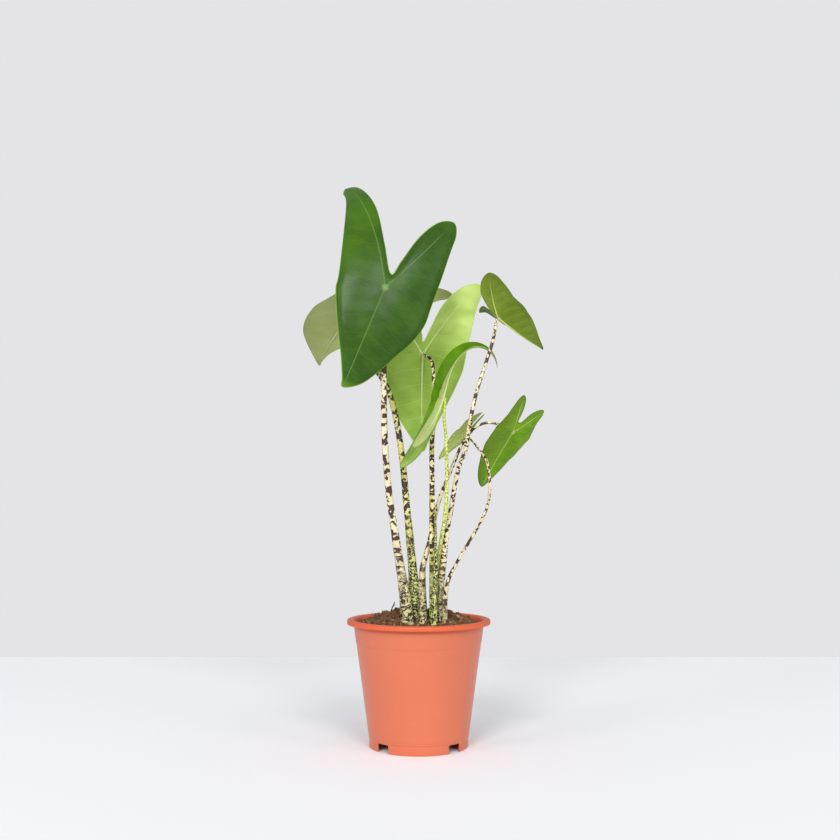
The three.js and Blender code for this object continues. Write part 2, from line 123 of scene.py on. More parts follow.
# route: the petiole's way up from the soil. radii: at its foot, in the middle and at the top.
# In each pair the first number is for the blade's own right half, seen from its upper side with
# the tip ahead, or for the part towards the tip; the second is for the other half or the lobes.
LEAVES = {
    "broad_front": dict(
        route=[(-11, -8, 117), (-16.5, -9, 176), (-21.5, -10, 207), (-28, -14, 249), (-35, -18, 296),
               (-40, -25, 359), (-41, -31, 401), (-41, -38, 442), (-40, -44, 487)],
        radii=(9, 4, 3.1), size=127, lobes=(1.54, 1.01), splay=(28, 26), hook=(0.12, -0.07),
        width=(0.47, 0.49), tip_fullness=(-0.13, 0.52), lobe_width=(0.91, 1.2), blunt=(1, 1.8),
        sinus=0.154, fold=(3, 6), curl=(30, 30), twist=(2, 8), bend=(19, 22), bend_power=1.3, sweep=0,
        face=(202, -67, -78), junction=(-39, -58, 535)),
    "sage_back": dict(
        route=[(-6, 6, 117), (-6, 6, 184), (-10, 8, 235), (-15, 10, 286), (-20, 14, 339),
               (-27, 18, 384), (-35, 21, 416), (-43, 24, 434), (-56, 34, 455), (-70, 66, 492)],
        radii=(8, 4, 3), size=97, lobes=(1.41, 0.82), splay=(15, 31), hook=(0.14, 0.02),
        width=(0.52, 0.57), tip_fullness=(-0.7, 1.3), lobe_width=(1.1, 1.38), blunt=(1, 1), sinus=0.13,
        fold=(2, -3), curl=(22, 28), twist=(7, -3), bend=(-1, 13), bend_power=1.3, sweep=14,
        face=(144, -30, 33), junction=(-84, 100, 529)),
    "light_middle": dict(
        route=[(18, 0, 117), (17, 0, 197), (16, -1, 261), (16, -2, 296), (16, -3, 360),
               (19, -3, 390), (18, 0, 435), (15, 10, 458)],
        radii=(6.5, 3.4, 2.1), size=120, lobes=(0.93, 0.64), splay=(29, 34), hook=(0.13, 0),
        width=(0.455, 0.46), tip_fullness=(-0.07, 0.41), lobe_width=(1.16, 1.45), blunt=(1.3, 1.3),
        sinus=0.138, fold=(3, 3), curl=(21, 12), twist=(0, 2), bend=(12, 14), bend_power=1.3, sweep=3,
        face=(121, -85, 34), junction=(5, 34, 468)),
    "young_folded": dict(
        route=[(22, 10, 117), (21.5, 9, 181), (23, 7, 205), (25, 4, 227), (27.5, -2, 245),
               (31, -10, 267), (33, -15, 301), (33, -19, 338), (32, -20, 364), (30, -20, 389)],
        radii=(4.5, 2.6, 1.6), size=128, lobes=(0.65, 0.79), splay=(10, 6), hook=(0.1, 0),
        width=(0.11, 0.13), tip_fullness=(0.4, 0.2), lobe_width=(0.5, 0.5), blunt=(1, 1), sinus=0.12,
        fold=(60, 30), curl=(10, 10), twist=(-70, 0), bend=(162, -38), bend_power=2.1, sweep=0,
        face=(32, 75, 0), junction=(29, -20, 409)),
    "olive_right": dict(
        route=[(27, 2, 117), (26, 3, 182), (29, 3, 209), (33.5, 3, 250), (38, 1, 274), (41, -2, 293),
               (48, -5, 328), (56, -7, 349), (60, -8, 374), (68, -7, 413), (80, -5, 451), (89, -3, 479)],
        radii=(6, 3, 1.9), size=67, lobes=(0.87, 1.02), splay=(31, 50), hook=(0.13, 0.44),
        width=(0.55, 0.6), tip_fullness=(0.5, 0.36), lobe_width=(1.82, 0.75), blunt=(1.2, 1.2), sinus=0.227,
        fold=(15, 53), curl=(14, 11), twist=(-14, 3), bend=(-5, -19), bend_power=1.3, sweep=5,
        face=(11, -39, -34), junction=(96, 0, 509)),
    "small_right": dict(
        route=[(6, 2, 117), (4, 4, 181), (5, 6, 209), (9, 8, 224), (14, 10, 243), (22, 12, 279),
               (28, 12, 298), (37, 10, 320), (44, 7, 337), (50, 4, 351), (59, 1, 366), (70, -3, 377),
               (83, -5, 381), (95, -6, 379)],
        radii=(8, 2.9, 1.3), size=84, lobes=(0.67, 0.57), splay=(23, 33), hook=(0.02, 0.18),
        width=(0.38, 0.41), tip_fullness=(0.74, -0.12), lobe_width=(0.92, 1.02), blunt=(1.6, 1.6),
        sinus=0.175, fold=(8, 6), curl=(8, 23), twist=(-6, -10), bend=(6, 6), bend_power=1.3, sweep=-7,
        face=(141, -51, -169), junction=(112, -12, 369)),
    "narrow_low": dict(
        route=[(32, -6, 117), (31, -7, 165), (33, -8, 185), (36, -10, 197), (45, -15, 215),
               (57, -22, 236), (70, -30, 259), (80, -38, 282), (82, -46, 300), (82, -49, 312),
               (81, -47, 322), (80, -40, 332), (77, -30, 340), (72, -16, 348), (67, 0, 356), (63, 14, 362)],
        radii=(4, 1.9, 1.2), size=45, lobes=(0.75, 1.04), splay=(23, 32), hook=(-0.02, 0.07),
        width=(0.55, 0.4), tip_fullness=(0.04, 0.35), lobe_width=(0.93, 1.24), blunt=(1.6, 1.6),
        sinus=0.144, fold=(25, 19), curl=(20, 20), twist=(-8, -22), bend=(4, 14), bend_power=1.3, sweep=-7,
        face=(163, -45, 13), junction=(57, 30, 370)),
}
SHEATH = dict(route=[(17, -9, 117), (18.5, -10, 165), (20, -10.5, 205), (20, -10.5, 245), (19.5, -9, 278)],
              radii=(5.5, 3.2, 0.8))

CHIPS = {
    "bark_chip_large": dict(at=(48, 4), lift=1, radius=5.5, height=3.6, tilt=35),
    "bark_chip_small": dict(at=(39, -20), lift=0.8, radius=4, height=3, tilt=20),
}
TWIGS = {
    "twig_long": dict(start=(-34, 17), end=(-29, 23), lifts=(0.2, 11), radius=0.8),
    "twig_short": dict(start=(-56, 20), end=(-47, 10), lifts=(0.3, 3), radius=0.8),
}

# ---------------------------------------------------------------- colours and material graphs


def colour(red, green, blue):
    """An sRGB colour from 0 to 255, as the linear one that a socket takes."""
    linear = [(v / 255 + 0.055) ** 2.4 / 1.055 ** 2.4 if v > 10 else v / 255 / 12.92
              for v in (red, green, blue)]
    return (*linear, 1.0)


class Graph:
    """A Principled material and short calls that add nodes to it."""

    def __init__(self, name, **sockets):
        self.material = bpy.data.materials.new(name)
        self.material.use_nodes = True
        self.nodes = self.material.node_tree.nodes
        self.links = self.material.node_tree.links
        self.shader = self.nodes["Principled BSDF"]
        for socket, value in sockets.items():
            self.shader.inputs[socket.replace("_", " ")].default_value = value

    def put(self, value, socket):
        if isinstance(value, bpy.types.NodeSocket):
            self.links.new(value, socket)
        else:
            socket.default_value = value

    def shade(self, socket, value):
        self.put(value, self.shader.inputs[socket])

    def add(self, kind, values=(), **settings):
        """A node with these settings, and these values on its sockets, in order or by name."""
        node = self.nodes.new(f"ShaderNode{kind}")
        for key, value in settings.items():
            setattr(node, key, value)
        for key, value in values.items() if isinstance(values, dict) else enumerate(values):
            self.put(value, node.inputs[key])
        return node

    def math(self, operation, *values):
        return self.add("Math", values, operation=operation).outputs[0]

    def times(self, first, second):
        return self.math("MULTIPLY", first, second)

    def blend(self, share, first, second):
        """The first value where share is 1, the second where it is 0."""
        rest = self.math("SUBTRACT", 1.0, share)
        return self.math("ADD", self.times(first, share), self.times(second, rest))

    def ramp(self, value, low, high, start=0.0, end=1.0):
        """A smooth step of value, from start at low to end at high."""
        values = (value, low, high, start, end)
        return self.add("MapRange", values, interpolation_type="SMOOTHSTEP").outputs[0]

    def fall(self, value, low, high):
        return self.ramp(value, low, high, 1.0, 0.0)

    def mix(self, factor, first, second):
        """The first colour where factor is 0, the second where it is 1."""
        node = self.add("Mix", {"Factor": factor}, data_type="RGBA")
        for value, socket in zip((first, second), [end for end in node.inputs if end.type == "RGBA"]):
            self.put(value, socket)
        return [end for end in node.outputs if end.type == "RGBA"][0]

    def attribute(self, name, output="Vector"):
        return self.add("Attribute", attribute_name=name).outputs[output]

    def place(self):
        return self.add("TexCoord").outputs["Object"]

    def split(self, vector):
        return self.add("SeparateXYZ", (vector,)).outputs[0:3]

    def noise(self, vector, scale, detail=2.0, roughness=0.5, distortion=0.0, shift=(0, 0, 0)):
        """Noise. A scale of three numbers stretches it along each axis, and shift then moves it."""
        if isinstance(scale, tuple):
            vector = self.add("VectorMath", (vector, scale, shift), operation="MULTIPLY_ADD").outputs[0]
            scale = 1.0
        values = {"Vector": vector, "Scale": scale, "Detail": detail, "Roughness": roughness,
                  "Distortion": distortion}
        return self.add("TexNoise", values).outputs["Fac"]

    def bump(self, height, distance, strength):
        node = self.add("Bump", {"Height": height, "Distance": distance, "Strength": strength})
        self.shade("Normal", node.outputs[0])


def pot_material():
    """Moulded plastic: slightly cloudy, with pale scuffs, a darker foot and a deeper orange lip."""
    graph = Graph("pot_plastic", Roughness=0.36, IOR=1.5)
    place = graph.place()
    height = graph.split(place)[2]
    lip_foot = pot_high.z - 0.010
    clouds = graph.noise(place, (9, 9, 16), 3.0)
    body = graph.mix(clouds, colour(196, 100, 67), colour(204, 109, 76))
    scuffs = graph.ramp(graph.noise(place, (60, 60, 260), 4.0, 0.65), 0.62, 0.74, 0.0, 0.16)
    body = graph.mix(scuffs, body, colour(226, 158, 130))
    body = graph.mix(graph.ramp(height, 0.0, 0.02, 0.25, 0.0), body, colour(184, 88, 56))
    body = graph.mix(graph.ramp(height, lip_foot, lip_foot + 0.002), body, colour(208, 88, 46))
    graph.shade("Base Color", body)
    graph.shade("Roughness", graph.ramp(clouds, 0.3, 0.7, 0.33, 0.41))
    grain = graph.noise(place, 900, 3.0, 0.6)
    flow = graph.noise(place, (30, 30, 4))
    graph.bump(graph.math("MULTIPLY_ADD", flow, 2.0, grain), 0.00012, 0.5)
    return graph.material


def soil_material(name, light):
    """Peat: dark crumbs, with each crumb's own tone from the tone attribute."""
    graph = Graph(name, Roughness=0.95, Specular_IOR_Level=0.25)
    place = graph.place()
    patches = graph.noise(place, 90, 4.0, 0.6)
    specks = graph.noise(place, 900, 3.0, 0.7)
    dark = graph.mix(graph.ramp(patches, 0.35, 0.65), colour(58, 38, 26), colour(116, 80, 54))
    lit = graph.mix(graph.attribute("tone", "Fac"), dark, light)
    graph.shade("Base Color", graph.mix(graph.ramp(specks, 0.35, 0.75, 0, 0.55), lit, colour(128, 92, 64)))
    graph.bump(graph.math("ADD", specks, graph.noise(place, 300, 4.0, 0.7)), 0.0012, 0.9)
    return graph.material


def wood_material(name, dark, pale):
    graph = Graph(name, Roughness=0.85)
    rings = graph.noise(graph.place(), (260, 260, 700), 4.0, 0.6, 0.6)
    graph.shade("Base Color", graph.mix(graph.ramp(rings, 0.35, 0.65), dark, pale))
    graph.bump(rings, 0.0006, 0.9)
    return graph.material


def stem_material(name, look):
    """Zebra stems: irregular dark blotches lying across a pale skin, finer and closer at the foot."""
    graph = Graph(name, Roughness=0.42, Specular_IOR_Level=0.4)
    skin = graph.attribute("skin")
    drift = look["drift"]
    cover = look["cover"]
    foot = graph.fall(graph.attribute("along", "Fac"), *look["foot"])
    wide = graph.noise(skin, (look["across"], look["across"], look["rate"]), 1.2, 0.5, 0.5, drift)
    specks = graph.noise(skin, (0.5, 0.5, 0.55), 1.0, shift=drift)
    upper = graph.math("MAXIMUM", graph.fall(wide, cover - 0.015, cover + 0.015),
                       graph.ramp(specks, 0.36, 0.39, look["specks"], 0.0))
    marbling = graph.noise(skin, (0.33, 0.33, 0.25), 0.8, 0.5, 0.5, drift)
    swirls = graph.math("ABSOLUTE", graph.math("SUBTRACT", marbling, 0.5))
    lower = graph.math("MAXIMUM", graph.fall(swirls, 0.055, 0.08), graph.fall(marbling, 0.36, 0.38))
    marks = graph.blend(foot, lower, upper)
    tint = graph.noise(skin, (0.12, 0.12, 0.03), shift=drift)
    pale = graph.mix(graph.ramp(tint, 0.35, 0.65), look["pale"], look["pale_warm"])
    pale = graph.mix(foot, pale, look["pale_foot"])
    graph.shade("Base Color", graph.mix(marks, pale, look["dark"]))
    lines = graph.noise(skin, (2.2, 2.2, 0.06))
    graph.bump(graph.math("MULTIPLY_ADD", marks, -0.3, lines), 0.0002, 0.5)
    return graph.material


def rib_lines(graph, leaf, look, under, plane, costa):
    """Where the midrib and the lobes' main veins run: a line below, and a groove's two edges above."""
    size = leaf["size"]
    across, ahead, _ = plane
    aside, beyond, share = costa

    def line(distance, half):
        if under:
            return graph.fall(distance, half, graph.math("ADD", half, 0.35))
        beside = graph.math("ABSOLUTE", graph.math("SUBTRACT", distance, half))
        return graph.fall(beside, 0.1, 0.5)

    def started(distance):
        return graph.ramp(distance, -0.5, 0.5)

    rib_half = graph.ramp(ahead, 0.0, size, look["rib"], look["rib"] * 0.35)
    midrib = graph.times(line(graph.math("ABSOLUTE", across), rib_half), started(ahead))
    midrib = graph.times(midrib, graph.fall(ahead, 0.86 * size, 0.96 * size))
    costa_half = graph.ramp(share, 0.0, 1.0, look["rib"] * 0.8, look["rib"] * 0.2)
    costae = graph.times(line(graph.math("ABSOLUTE", aside), costa_half), started(beyond))
    costae = graph.times(costae, graph.fall(share, 0.6, 0.9))
    return graph.math("MAXIMUM", midrib, costae)


def lateral_lines(graph, leaf, plane_vector, plane, costa):
    """Where the side veins run: evenly spaced lines that curve from the ribs towards the margin."""
    size = leaf["size"]
    step = LATERAL_STEP * size
    across, ahead, edge = plane
    from_midrib = graph.math("ABSOLUTE", across)
    front = graph.ramp(graph.math("MULTIPLY_ADD", from_midrib, 0.12, ahead), -0.4, 0.4)
    curve = graph.times(graph.times(from_midrib, from_midrib), LATERAL_CURVE / size)
    leaning = graph.math("MULTIPLY_ADD", from_midrib, -LATERAL_LEAN, ahead)
    phase_front = graph.math("SUBTRACT", leaning, curve)
    phase_lobe = graph.math("MULTIPLY_ADD", graph.math("ABSOLUTE", costa[0]), -COSTA_LEAN, costa[1])
    phase_lobe = graph.math("ADD", phase_lobe, COSTA_PHASE * step)
    wander = graph.noise(plane_vector, (0.03, 0.03, 0), 1.0)
    phase = graph.math("MULTIPLY_ADD", wander, 0.5 * step, graph.blend(front, phase_front, phase_lobe))
    laterals = graph.fall(graph.math("PINGPONG", phase, step / 2), 0.12, 0.55)
    return graph.times(laterals, graph.ramp(edge, 3.0, 9.0))


def leaf_material(name, leaf, look, under):
    """One side of a blade. The veins, rim and tip come from the flat blade's own measures in mm."""
    graph = Graph(name, IOR=1.45, Specular_IOR_Level=look["specular"], Coat_Weight=look["coat"],
                  Coat_Roughness=0.28)
    size = leaf["size"]
    plane_vector = graph.attribute("blade_plane")
    plane = graph.split(plane_vector)
    costa = graph.split(graph.attribute("blade_costa"))
    across, ahead, edge = plane
    ribs = rib_lines(graph, leaf, look, under, plane, costa)
    laterals = lateral_lines(graph, leaf, plane_vector, plane, costa)
    hatch = graph.noise(plane_vector, (0.10, 1.5, 0), 2.5, 0.6, 0.5)
    blotches = graph.noise(plane_vector, (0.022, 0.03, 0), 2.0, 0.55)

    skin = graph.mix(graph.ramp(blotches, 0.36, 0.66), look["base"], look["second"])
    if "patch" in look:
        reach = graph.math("MULTIPLY_ADD", across, look["patch"][0], graph.times(ahead, look["patch"][1]))
        broken = graph.ramp(blotches, 0.3, 0.7, 0.35, 1.0)
        skin = graph.mix(graph.times(graph.ramp(reach, 0.1, 1.0), broken), skin, look["patch_colour"])
    skin = graph.mix(graph.ramp(hatch, 0.3, 0.7, 0.0, look["hatch"]), skin, look["vein"])
    skin = graph.mix(graph.times(laterals, look["lateral"]), skin, look["vein"])
    skin = graph.mix(graph.times(ribs, look["rib_strength"]), skin, look["rib_colour"])
    home = graph.math("SQRT", graph.math("ADD", graph.times(across, across), graph.times(ahead, ahead)))
    skin = graph.mix(graph.ramp(home, 1.0, 0.05 * size, look["spot"], 0.0), skin, look["rib_colour"])
    skin = graph.mix(graph.ramp(ahead, 0.9 * size, 0.99 * size, 0.0, look["tip"]), skin, look["tip_colour"])
    skin = graph.mix(graph.ramp(edge, 0.3, look["rim_width"], look["rim"], 0.0), skin, look["rim_colour"])
    graph.shade("Base Color", skin)
    graph.shade("Roughness", graph.ramp(blotches, 0.3, 0.7, look["rough"] - 0.04, look["rough"] + 0.05))

    relief = graph.times(laterals, 1.2 if under else -1.0)
    relief = graph.math("MULTIPLY_ADD", ribs, 1.6 if under else -1.6, relief)
    relief = graph.math("MULTIPLY_ADD", hatch, look["hatch_bump"], relief)
    graph.bump(relief, 0.00022, 0.8)
    return graph.material


def rib_material(name, pale, green):
    """The raised ribs below a blade: pale at the stem, and as green as the blade at their thin ends."""
    graph = Graph(name, Roughness=0.45)
    place = graph.place()
    tone = graph.noise(place, 120, 3.0)
    fade = graph.ramp(graph.attribute("along", "Fac"), 10.0, 55.0)
    skin = graph.mix(graph.ramp(tone, 0.3, 0.7, 0.0, 0.3), pale, green)
    graph.shade("Base Color", graph.mix(fade, skin, green))
    graph.bump(graph.noise(place, 1500), 0.0001, 0.4)
    return graph.material


# ---------------------------------------------------------------- meshes


def add_piece(name, points, faces, material, slot, replaced=(), second=None, under=None, attributes=None,
              sharp=None):
    """A mesh piece of the plant, given in mm from the pot's axis.

    second is a second material, for the faces that under marks. attributes hold values for each
    point. sharp is the angle in degrees beyond which an edge is not smoothed.
    """
    mesh = bpy.data.meshes.new(name)
    mesh.from_pydata((np.asarray(points) * MM + AXIS).tolist(), [], faces)
    mesh.update()
    mesh.materials.append(material)
    if second is not None:
        mesh.materials.append(second)
        mesh.polygons.foreach_set("material_index", np.asarray(under, dtype=np.int32))
    mesh.polygons.foreach_set("use_smooth", np.ones(len(faces), dtype=bool))
    for key, values in (attributes or {}).items():
        values = np.asarray(values, dtype=np.float32)
        kind, field = ("FLOAT_VECTOR", "vector") if values.ndim == 2 else ("FLOAT", "value")
        mesh.attributes.new(key, kind, "POINT").data.foreach_set(field, values.ravel())
    if sharp is not None:
        mesh.set_sharp_from_angle(angle=math.radians(sharp))
    piece = bpy.data.objects.new(name, mesh)
    bpy.context.scene.collection.objects.link(piece)
    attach(piece, "root")
    if replaced:
        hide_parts(*replaced)
    return piece


def closed_faces(rows, sides):
    """The faces of rings joined into a skin. The two end points come after the rings' own points."""
    faces = []
    for i in range(rows - 1):
        for j in range(sides):
            after = (j + 1) % sides
            faces.append((i * sides + j, i * sides + after, (i + 1) * sides + after, (i + 1) * sides + j))
    first_end = rows * sides
    for j in range(sides):
        after = (j + 1) % sides
        faces.append((first_end, after, j))
        faces.append((first_end + 1, (rows - 1) * sides + j, (rows - 1) * sides + after))
    return faces


def joined(bodies):
    """Several pairs of points and faces as one."""
    faces = []
    offset = 0
    for points, own_faces in bodies:
        faces += [tuple(offset + corner for corner in face) for face in own_faces]
        offset += len(points)
    return np.vstack([points for points, _ in bodies]), faces


def lathe(profile, sides, height=None):
    """Turns a profile, from axis to axis, into a closed body. height(x, y, z) may lift its points."""
    profile = np.asarray(profile, float)
    angles = np.arange(sides) / sides * 2 * np.pi
    ring = profile[1:-1]
    x = ring[:, :1] * np.cos(angles)
    y = ring[:, :1] * np.sin(angles)
    z = np.repeat(ring[:, 1:], sides, axis=1)
    points = np.stack([x, y, z], -1).reshape(-1, 3)
    points = np.vstack([points, [0, 0, profile[0, 1]], [0, 0, profile[-1, 1]]])
    if height:
        points[:, 2] = height(points[:, 0], points[:, 1], points[:, 2])
    return points, closed_faces(len(ring), sides)


def round_corners(profile, radius, steps=4):
    """Replaces each inner corner of a profile by a short curve that starts at most radius before it."""
    profile = [np.asarray(p, float) for p in profile]
    rounded = [profile[0]]
    for before, corner, after in zip(profile, profile[1:], profile[2:]):
        into = corner - before
        out = after - corner
        reach_in = min(radius, 0.45 * np.linalg.norm(into))
        reach_out = min(radius, 0.45 * np.linalg.norm(out))
        start = corner - into / np.linalg.norm(into) * reach_in
        end = corner + out / np.linalg.norm(out) * reach_out
        for t in np.linspace(0, 1, steps):
            rounded.append(start * (1 - t) ** 2 + 2 * corner * t * (1 - t) + end * t ** 2)
    rounded.append(profile[-1])
    return rounded


def distance_along(line):
    """For each point of a line, how far along it lies."""
    return np.concatenate([[0], np.cumsum(np.linalg.norm(np.diff(line, axis=0), axis=1))])


def unit_tangents(line):
    tangents = np.gradient(line, axis=0)
    return tangents / np.linalg.norm(tangents, axis=1)[:, None]


def smooth_route(points, spacing):
    """A centripetal Catmull-Rom curve through the points, as the CAD stems follow, evenly sampled."""
    p = [np.asarray(v, float) for v in points]
    p = [2 * p[0] - p[1], *p, 2 * p[-1] - p[-2]]
    samples = []
    for before, start, end, after in zip(p, p[1:], p[2:], p[3:]):
        gaps = [np.sqrt(np.linalg.norm(b - a)) for a, b in ((before, start), (start, end), (end, after))]
        speed_in = ((start - before) / gaps[0] - (end - before) / (gaps[0] + gaps[1])
                    + (end - start) / gaps[1]) * gaps[1]
        speed_out = ((end - start) / gaps[1] - (after - start) / (gaps[1] + gaps[2])
                     + (after - end) / gaps[2]) * gaps[1]
        t = np.linspace(0, 1, ROUTE_STEPS, endpoint=False)[:, None]
        samples.append(start + speed_in * t + (3 * end - 3 * start - 2 * speed_in - speed_out) * t ** 2
                       + (2 * start - 2 * end + speed_in + speed_out) * t ** 3)
    line = np.vstack([*samples, p[-2]])
    length = distance_along(line)
    count = max(3, int(round(length[-1] / spacing)))
    even = np.linspace(0, length[-1], count + 1)
    return np.stack([np.interp(even, length, line[:, k]) for k in range(3)], -1), even


def tube(centres, radii, sides):
    """A closed tube whose rings turn as little as they can from one to the next."""
    tangents = unit_tangents(centres)
    normal = np.cross(tangents[0], (0.3, 1.0, 0.1))
    angles = np.arange(sides) / sides * 2 * np.pi
    rings = []
    for centre, tangent, radius in zip(centres, tangents, radii):
        normal = normal - tangent * normal.dot(tangent)
        normal = normal / np.linalg.norm(normal)
        binormal = np.cross(tangent, normal)
        around = np.cos(angles)[:, None] * normal + np.sin(angles)[:, None] * binormal
        rings.append(centre + radius * around)
    return np.vstack([*rings, centres[:1], centres[-1:]]), closed_faces(len(centres), sides)


# ---------------------------------------------------------------- blades


def lobe_axes(leaf, half):
    """The flat directions along one lobe, from the stem joint, and outward from it."""
    splay = math.radians(leaf["splay"][half])
    return np.array([math.sin(splay), -math.cos(splay)]), np.array([math.cos(splay), math.sin(splay)])


def half_outline(leaf, half):
    """Half of the flat outline, in units of the blade's size: from the sinus to the leaf tip."""
    axis, outward = lobe_axes(leaf, half)
    length = leaf["lobes"][half]

    def lobe_point(along, aside):
        bow = length * leaf["hook"][half] * along * along + aside * leaf["lobe_width"][half]
        return length * along * axis + bow * outward

    blunt = leaf["blunt"][half]
    margin = [(1, -0.02), (0.93, 0.17), (0.76, 0.36), (0.55, 0.55), (0.31 * (0.75 + 0.25 * blunt), 0.74),
              (0.11 * blunt, 0.91), (0, 1)]
    fullness = leaf["tip_fullness"][half]
    outer = [np.array([x * leaf["width"][half] * (1 + fullness * max(y, 0)), y]) for x, y in margin]
    lobe = [lobe_point(*p) for p in ((0.3, -0.075), (0.6, -0.115), (0.86, -0.09), (1, 0), (0.93, 0.085),
                                     (0.72, 0.16))]
    return [np.array([0, -leaf["sinus"]]), *lobe, *outer]


def blade_outline(leaf, steps):
    """The whole flat outline in mm, as a smooth closed curve of so many steps for each corner."""
    right = half_outline(leaf, 0)
    left = [p * (-1, 1) for p in half_outline(leaf, 1)][::-1][1:-1]
    corners = np.array([*right, *left])
    before, start, end, after = (np.roll(corners, -shift, axis=0)[:, None] for shift in (-1, 0, 1, 2))
    t = (np.arange(steps) / steps)[None, :, None]
    curve = 0.5 * (2 * start + (end - before) * t + (2 * before - 5 * start + 4 * end - after) * t ** 2
                   + (3 * start - before - 3 * end + after) * t ** 3)
    return curve.reshape(-1, 2) * leaf["size"]


def edge_distance(flat, outline):
    """How far each flat point is from the outline, worked out a block at a time to save memory."""
    blocks = np.array_split(flat, max(1, len(flat) // 2000))
    return np.concatenate([np.sqrt(((b[:, None] - outline[None]) ** 2).sum(-1)).min(1) for b in blocks])


def bent_line(distance, turn, power, size):
    """Along, down and heading at a distance on a line that turns down by turn over the blade's size."""
    slices = (np.arange(BEND_SLICES) + 0.5) / BEND_SLICES
    heading = turn * (distance[:, None] * slices / size) ** power
    along = np.cos(heading).mean(1) * distance
    drop = np.sin(heading).mean(1) * distance
    return along, drop, turn * (distance / size) ** power


def bend_blade(leaf, flat, height):
    """Takes points of the flat blade, lifted by height, to the folded, curled, twisted and bent one."""
    x, y = flat[:, 0], flat[:, 1]
    size = leaf["size"]
    on_right = x > 0
    to_tip = y > 0
    fold = np.radians(np.where(on_right, *leaf["fold"]))
    curl = np.radians(np.where(on_right, *leaf["curl"])) / (0.5 * size)
    slope = fold - curl * np.abs(x)
    across = np.where(on_right, 1, -1) * ((np.sin(fold) - np.sin(slope)) / curl - height * np.sin(slope))
    rise = (np.cos(slope) - np.cos(fold)) / curl + height * np.cos(slope)
    twist = np.radians(np.where(to_tip, *leaf["twist"])) * y / size
    turned = across * np.cos(twist) - rise * np.sin(twist)
    lifted = across * np.sin(twist) + rise * np.cos(twist)
    tip_line = bent_line(np.abs(y), math.radians(leaf["bend"][0]), leaf["bend_power"], size)
    lobe_line = bent_line(np.abs(y), math.radians(leaf["bend"][1]), 1.0, size)
    along, drop, heading = (np.where(to_tip, a, b) for a, b in zip(tip_line, lobe_line))
    forward = np.maximum(y, 0)
    return np.stack([
        turned + forward * math.tan(math.radians(leaf["sweep"])) * forward / size,
        np.where(to_tip, 1, -1) * (along + lifted * np.sin(heading)),
        lifted * np.cos(heading) - drop,
    ], -1)


def blade_axes(leaf):
    """Rows: across to the blade's right, ahead to its tip, and out of its upper side."""
    heading, elevation, roll = np.radians(leaf["face"])
    level_ahead = np.array([np.cos(heading), np.sin(heading), 0])
    straight_up = np.array([0, 0, 1])
    ahead = level_ahead * np.cos(elevation) + straight_up * np.sin(elevation)
    steepest = straight_up * np.cos(elevation) - level_ahead * np.sin(elevation)
    upper = steepest * np.cos(roll) + np.cross(ahead, steepest) * np.sin(roll)
    return np.array([np.cross(ahead, upper), ahead, upper])


def on_blade(leaf, flat, height):
    return bend_blade(leaf, flat, height) @ blade_axes(leaf) + leaf["junction"]


def costa_line(leaf, half):
    """The main vein of one lobe, on the flat blade, as points of a curve on the right-hand side."""
    axis, outward = lobe_axes(leaf, half)
    t = np.linspace(0, 1, RIB_POINTS)[:, None]
    return leaf["size"] * leaf["lobes"][half] * (t * axis + leaf["hook"][half] * t * t * outward)


def costa_measures(leaf, flat):
    """For each flat point: how far it is aside of its lobe's vein, how far along, and that share."""
    measures = np.zeros((len(flat), 3))
    for half, mirror in enumerate(MIRRORS):
        chosen = (flat[:, 0] > 0) == (half == 0)
        points = flat[chosen] * mirror
        line = costa_line(leaf, half)
        tangents = unit_tangents(line)
        normals = np.stack([-tangents[:, 1], tangents[:, 0]], -1)
        length = distance_along(line)
        nearest = np.argmin(((points[:, None] - line[None]) ** 2).sum(-1), axis=1)
        offset = points - line[nearest]
        aside = (offset * normals[nearest]).sum(-1)
        along = length[nearest] + (offset * tangents[nearest]).sum(-1)
        measures[chosen] = np.stack([aside, along, along / length[-1]], -1)
    return measures


def smooth_step(value, low, high):
    t = np.clip((value - low) / (high - low), 0, 1)
    return t * t * (3 - 2 * t)


def blade_relief(leaf, look, flat, costa, edge):
    """Height of the blade's middle surface over the smooth sheet: quilting, wavy margin, rolled rim."""
    x, y = flat[:, 0], flat[:, 1]
    beside, beyond = np.abs(costa[:, 0]), costa[:, 1]
    size = leaf["size"]
    step = LATERAL_STEP * size
    front = smooth_step(y + 0.12 * np.abs(x), -0.06 * size, 0.06 * size)
    phase_front = (y - LATERAL_LEAN * np.abs(x) - LATERAL_CURVE * x * x / size) / step
    phase_lobe = (beyond - COSTA_LEAN * beside) / step + COSTA_PHASE
    quilt = front * np.sin(np.pi * phase_front) ** 2 + (1 - front) * np.sin(np.pi * phase_lobe) ** 2
    inside = smooth_step(edge, 2, 0.14 * size)
    nearest_rib = np.minimum(np.abs(x) + RIB_ENDED * (y < 0), beside + RIB_ENDED * (beyond < 0))
    roll = look["roll"] * np.clip(1 - edge / look["roll_width"], 0, 1) ** 2
    angle = np.arctan2(x, y)
    sway = np.sin(5 * angle + size) + 0.7 * np.sin(9 * angle + 2.0) + 0.4 * np.sin(17 * angle + 0.7)
    wave = look["wave"] * sway * np.clip(1 - edge / (0.25 * size), 0, 1) ** 2
    return look["quilt"] * quilt * inside * smooth_step(nearest_rib, 0, 8) - roll + wave


